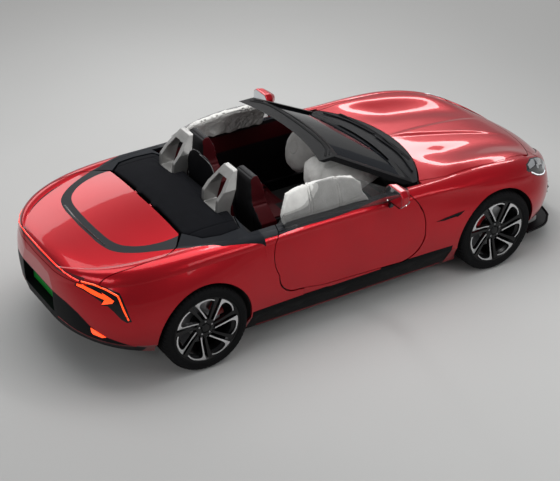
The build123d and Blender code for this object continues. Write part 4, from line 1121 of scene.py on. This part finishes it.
def door_skin(door, sign, y, z):
    """Where a level ray from the side meets the door."""
    return door.ray_cast(Vector((-sign, y, z)), Vector((sign, 0, 0)))[0]


def sill_strip(side, sign, door):
    """The painted sill between the door's lower edge and the skirt."""
    rows = []
    for y in np.linspace(SILL_REAR, SILL_FRONT, 48):
        edge = door.ray_cast(Vector((-sign * 0.885, y, 0.25)), Vector((0, 0, 1)))[0]
        if edge is None or edge.z - SILL_GAP < SILL_FOOT + 0.009:
            continue
        lean = abs(door_skin(door, sign, y, edge.z + 0.012).x) - SILL_X
        tall = edge.z - SILL_GAP - SILL_FOOT
        rows.append([Vector((-sign * (SILL_X + lean * t), y, SILL_FOOT + tall * t)) for t in (0, 0.5, 1)])
    new_piece(f"sill_strip_{side}", *slab(rows, 0.012, sign), "red_paint")


def pocket_cover(side, sign, door):
    """The door's skin carried over the mouth of the upper hinge pocket."""
    low, high, rear = 0.764, 0.816, -0.4735

    def skin(y, z):
        hit = door_skin(door, sign, y, z)
        return hit.x if hit is not None and abs(hit.x) > 0.86 else None

    ys = [rear - 0.002 * i for i in range(60)]
    front = [min(y for y in ys if skin(y, z) is not None) + 0.001 for z in (low, high)]
    rows = []
    for i in range(9):
        t = i / 8
        end = front[0] + (front[1] - front[0]) * t
        row = []
        for j in range(15):
            y = rear + (end - rear) * j / 14
            x = [skin(max(y, front[k]), z) for k, z in ((0, low), (1, high))]
            row.append(Vector((x[0] + (x[1] - x[0]) * t - sign * 0.0004, y, low + (high - low) * t)))
        rows.append(row)
    new_piece(f"pocket_cover_{side}", *slab(rows, 0.003, sign), "red_paint", f"door_{side}")


STRAP_END = 0.864


def make_straps():
    """The hinge arms, ending inside the door's skin."""
    source = NODES["door_hinges"].data
    corners = [v.co for v in source.vertices]
    vertices = [(math.copysign(min(abs(p.x), STRAP_END), p.x), p.y, p.z) for p in corners]
    new_piece("hinge_straps", vertices, [face.vertices for face in source.polygons], "cast",
        replaces=("door_hinges",))


def make_sides():
    """Trim on the skirts, wings, doors and quarters, and the hinge arms."""
    skirt = node_tree(["side_skirts"])
    fender = node_tree(["front_fenders"])
    quarter = node_tree(["rear_quarters", "rear_deck"])
    for side, sign in SIDES:
        door = node_tree([f"door_{side}"])
        line = pairs([(0.8, -0.86, 0.15), (0.79, -0.7, 0.145), (0.788, 0, 0.143), (0.79, 0.6, 0.145),
            (0.8, 0.86, 0.15)], sign)
        surface_band(f"skirt_stripe_{side}", line, 0.007, skirt, "stripe_red")
        vent = pairs([(0.935, -0.72, 0.636), (0.938, -0.77, 0.642), (0.94, -0.86, 0.65), (0.941, -0.95, 0.66),
            (0.941, -0.985, 0.664), (0.942, -0.95, 0.64), (0.941, -0.92, 0.628), (0.94, -0.9, 0.634),
            (0.938, -0.8, 0.628)], sign)
        surface_patch(f"fender_vent_{side}", vent, (sign, 0, 0), fender, "satin_black")
        blade = pairs([(0.935, -0.735, 0.637), (0.94, -0.86, 0.652), (0.941, -0.97, 0.664)], sign)
        surface_band(f"fender_blade_{side}", blade, 0.007, fender, "gloss_black", height=0.007, taper=True)
        flap = pairs([(0.846, 0.524, 0.951), (0.85, 0.553, 0.943), (0.846, 0.615, 0.948),
            (0.836, 0.632, 0.956), (0.822, 0.632, 0.966), (0.822, 0.518, 0.968)], sign)
        surface_patch(f"handle_flap_{side}", flap, (sign * 0.3, 0, -1), door, "gloss_black", f"door_{side}",
            height=0.0022)
        outline = pairs([(0.842, 0.52, 0.955), (0.85, 0.53, 0.948), (0.852, 0.57, 0.944),
            (0.848, 0.61, 0.947), (0.838, 0.625, 0.956)], sign)
        surface_band(f"handle_rim_{side}", outline, 0.003, door, "rubber_grey", f"door_{side}", height=0.003,
            slot="steel")
        side_mirror(side, sign)
        sill_strip(side, sign, door)
        pocket_cover(side, sign, door)
        seam = pairs([(0.872, 0.8235, 0.928), (0.889, 0.8235, 0.872), (0.906, 0.8235, 0.797)], sign)
        surface_band(f"quarter_seam_{side}", seam, 0.016, quarter, "red_paint", height=0.0012)
    make_straps()


def side_mirror(side, sign):
    """A bright line where the mirror's painted cap meets its foot."""
    tree = node_tree([f"mirror_{side}"])
    x = 0.985
    line = pairs([(x - 0.085, -0.252, 0.968), (x + 0.06, -0.252, 0.964), (x + 0.1, -0.262, 0.99),
        (x + 0.103, -0.3, 1.0), (x + 0.08, -0.345, 1.0)], sign)
    surface_band(f"mirror_line_{side}", line, 0.0045, tree, "chrome", f"door_{side}")


# ---- windscreen and cowl ----
WIPER_HALF = 0.0085


def wiper(name, points, tree):
    """A wiper's blade or arm: a strip just over the glass, raised along its middle and narrower at its ends.
    """
    line = smooth_line(points, 0.02)
    vertices = []
    for i, point in enumerate(line):
        near, normal, _, _ = tree.find_nearest(point)
        side = normal.cross(heading(line, i).normalized()).normalized()
        share = i / (len(line) - 1)
        wide = WIPER_HALF * (1 - 0.45 * abs(2 * share - 1) ** 2)
        for across, up in ((-1, 0.004), (-0.7, 0.012), (0.7, 0.015), (1, 0.004)):
            vertices.append(near + side * (wide * across) + normal * up)
    new_piece(name, vertices, tube_faces(len(line), 4), "satin_black")


def make_cowl():
    """Two wipers and the ribs of the cowl."""
    tree = node_tree(["cowl", "windscreen_glass", "windscreen_frame"])
    for name, points in (
        ("blade_driver", [(0.64, -0.66, 0.95), (0.4, -0.745, 0.96), (0.06, -0.79, 0.96)]),
        ("blade_passenger", [(0.02, -0.77, 0.962), (-0.3, -0.77, 0.96), (-0.6, -0.7, 0.952)]),
        ("arm_driver", [(0.56, -0.76, 0.94), (0.48, -0.775, 0.944), (0.25, -0.79, 0.955)]),
        ("arm_passenger", [(-0.02, -0.815, 0.95), (-0.12, -0.805, 0.952), (-0.33, -0.785, 0.958)]),
    ):
        wiper(f"wiper_{name}", points, tree)
    grille = node_tree(["cowl"])
    for i, y in enumerate((-0.83, -0.818, -0.806)):
        line = across([(0.42, y + 0.02, 0.944), (0.2, y + 0.004, 0.948), (0, y, 0.95)])
        surface_band(f"cowl_rib_{i}", line, 0.005, grille, "satin_black", height=0.003)


make_lip()
make_nose()
make_cabin()
soften_edges()
make_tail()
make_sides()
make_cowl()


# ---- soft pieces ----
CLOTH_FRAMES = 20
PRESSURE = 4.0
SEAT_X = 0.37


def soft_copy(name, node, voxel, shrink, material):
    """A remeshed copy of a CAD solid, pulled in a little, ready to be blown up by the cloth solver."""
    shell = welded(node)
    bmesh.ops.recalc_face_normals(shell, faces=shell.faces)
    piece = from_shell(name, shell)
    remesh(piece, voxel)
    settle(piece)
    normals = [v.normal.copy() for v in piece.data.vertices]
    for vertex, normal in zip(piece.data.vertices, normals):
        vertex.co -= normal * shrink
    smooth_out(piece, 6)
    cover(piece, material)
    return piece


def blow_up(soft):
    """Runs the cloth solver on every soft piece at once, and keeps each point within its piece's cap."""
    scene = bpy.context.scene
    for piece, _ in soft:
        cloth = piece.modifiers.new("cloth", "CLOTH")
        cloth.settings.use_pressure = True
        cloth.settings.uniform_pressure_force = PRESSURE
        cloth.settings.effector_weights.gravity = 0
        cloth.settings.quality = 3
        cloth.settings.tension_stiffness = 12
        cloth.settings.compression_stiffness = 12
        cloth.settings.bending_stiffness = 0.4
        cloth.collision_settings.use_collision = False
    for step in range(1, CLOTH_FRAMES + 1):
        scene.frame_set(step)
    for piece, cap in soft:
        rest = [v.co.copy() for v in piece.data.vertices]
        settle(piece)
        for vertex, start in zip(piece.data.vertices, rest):
            move = vertex.co - start
            if move.length > cap:
                vertex.co = start + move.normalized() * cap
    scene.frame_set(1)


def dress(piece, shape):
    """Adds a subdivision and then moves each point along its normal by shape(point, normal)."""
    finer = piece.modifiers.new("finer", "SUBSURF")
    finer.levels = 1
    settle(piece)
    mesh = piece.data
    normals = [v.normal.copy() for v in mesh.vertices]
    for vertex, normal in zip(mesh.vertices, normals):
        moved = shape(vertex.co, normal)
        vertex.co = vertex.co + (moved if isinstance(moved, Vector) else normal * moved)
    for face in mesh.polygons:
        face.use_smooth = True


def groove(distance, width, depth):
    """Depth of a sewn channel at a distance from its middle."""
    return -depth * math.exp(-(distance / width) ** 2)


def crumple(point, scale, seed=0.0):
    """Soft folds: stacked noise that is sharper in its valleys."""
    total = 0.0
    size = 1.0
    for octave in range(3):
        value = noise.noise(Vector((point.x * scale, point.y * scale, point.z * scale + seed))
            * (1.9 ** octave))
        total += size * (1 - 2 * abs(value))
        size *= 0.5
    return total / 1.75


def distance_to_line(point, a, b):
    """Distance from a point to a straight line between two points, in the (y, z) plane."""
    p, a, b = Vector(point[1:3]), Vector(a), Vector(b)
    along = max(0.0, min(1.0, (p - a).dot(b - a) / (b - a).length_squared))
    return (p - a - (b - a) * along).length


def near_curtain(point, normal):
    """The curtain bag on the right: three chambers between pairs of sewn seams, and a fold along its foot."""
    move = 0.0
    for y_low, y_high in ((0.122, 0.1), (0.378, 0.352)):
        for offset in (-0.011, 0.011):
            away = distance_to_line(point, (y_low + offset, 0.93), (y_high + offset, 1.19))
            move += groove(away, 0.006, 0.007)
    move += groove(distance_to_line(point, (0.62, 0.955), (-0.14, 1.01)), 0.005, 0.004)
    upper = ease(point.z, 0.955, 1.03)
    corner = Vector((0, 0.008, 0.062)) * ease(point.y, 0.18, 0.6) * upper
    front = Vector((0, 0.045, 0.012)) * ease(-point.y, -0.02, 0.16) * upper
    return normal * (move + 0.0016 * crumple(point, 14)) + corner + front


def far_curtain(point, normal):
    """The curtain bag on the left: crumpled, with deep folds and a ragged lower edge."""
    folds = 0.012 * crumple(point, 8, 3.1) + 0.007 * crumple(point, 17, 8.0)
    ragged = 0.5 + 0.5 * noise.noise(Vector((point.y * 9, 0.3, 4.0)))
    hang = -0.04 * ragged * (1 - ease(point.z, 0.98, 1.08))
    return normal * folds + Vector((-0.01, 0, hang))


STEERING_HUB = Vector((SEAT_X, -0.33, 0.8))
COLUMN_TILT = math.radians(25)


def driver_face(point, normal):
    """The round driver's bag, with the ring seam round its tether and a few soft creases."""
    out = Vector((0, math.cos(COLUMN_TILT), math.sin(COLUMN_TILT)))
    arm = point - STEERING_HUB
    away = arm - out * arm.dot(out)
    ring = dish = 0.0
    if normal.dot(out) > 0.3:
        ring = groove(away.length - 0.056, 0.006, 0.006)
        dish = groove(away.length, 0.045, 0.007)
    angle = math.atan2(away.x, away.z)
    pleats = 0.0016 * math.sin(angle * 17) * min(1, max(0, (away.length - 0.11) / 0.09))
    return ring + dish + pleats + 0.001 * crumple(point, 16)


def passenger_face(point, normal):
    """The passenger's bag: two side seams and long creases from its mouth."""
    seams = groove(abs(point.x + SEAT_X) - 0.105, 0.008, 0.006)
    creases = 0.004 * crumple(Vector((point.x * 2.2, point.y * 0.8, point.z)), 8, 1.4)
    return seams + creases - 0.002


def seat_panel(point, normal):
    """Seat upholstery: a border seam, and flutes across the middle panel."""
    side = abs(abs(point.x) - SEAT_X)
    edge = groove(side - 0.135, 0.006, 0.008)
    flutes = 0.0
    if side < 0.13 and (normal.y < -0.4 or normal.z > 0.6):
        along = point.y if normal.z > 0.6 else point.z
        flutes = -0.004 * max(0.0, math.cos(along * math.tau / 0.058)) ** 6
    return edge + flutes


def two_tone(piece):
    """Red leather on the seats' inner faces and bolsters, black on their shells."""
    piece.data.materials.append(MATERIALS["leather_red"])
    cushion = piece.name == "seat_pads"
    for face in piece.data.polygons:
        side = abs(abs(face.center.x) - SEAT_X)
        facing = face.normal.z > 0.3 if cushion else face.normal.y < 0.25
        face.material_index = int(facing and (cushion or side > 0.1))


def top_folds(point, normal):
    """The folded soft top: a border seam, a seam to each side flap and slow folds between."""
    half = abs(point.x)
    border = groove(point.y - 0.985, 0.006, 0.005) * ease(0.62 - half, 0, 0.04)
    seam = groove(half - 0.6, 0.006, 0.006) + border
    return seam + 0.0018 * crumple(Vector((point.x * 0.5, point.y * 1.6, point.z)), 5, 2.2)


# piece: CAD node, voxel, pulled in by, moves at most, body, finish, shape, share filled
SOFT_PIECES = {
    "curtain_bag_right":
        ("curtain_airbag_right", 0.007, 0.005, 0.01, "door_right", "bag_cloth", near_curtain, 0.7),
    "curtain_bag_left":
        ("curtain_airbag_left", 0.007, 0.005, 0.01, "door_left", "bag_cloth", far_curtain, 0.4),
    "driver_bag": ("driver_airbag", 0.008, 0.006, 0.01, "steering", "bag_cloth", driver_face, 0.9),
    "passenger_bag": ("passenger_airbag", 0.01, 0.01, 0.014, "body", "bag_cloth", passenger_face, 0.8),
    "seat_pads": ("seat_cushions", 0.01, 0.006, 0.01, "body", "leather_black", seat_panel, 0.8),
    "seat_rests": ("seat_backs", 0.01, 0.006, 0.01, "body", "leather_black", seat_panel, 0.8),
    "folded_top": ("soft_top_cover", 0.012, 0.004, 0.008, "body", "roof_cloth", top_folds, 0.2),
}


def make_soft_pieces():
    rows = SOFT_PIECES.values()
    made = [soft_copy(name, row[0], row[1], row[2], row[5]) for name, row in SOFT_PIECES.items()]
    blow_up([(piece, row[3]) for piece, row in zip(made, rows)])
    for piece, (node, _, _, _, body, finish, shape, fill) in zip(made, rows):
        dress(piece, shape)
        if finish == "leather_black":
            two_tone(piece)
        declare(piece, body, SLOTS[finish], node)


round_mirror("right")
round_mirror("left")
make_soft_pieces()
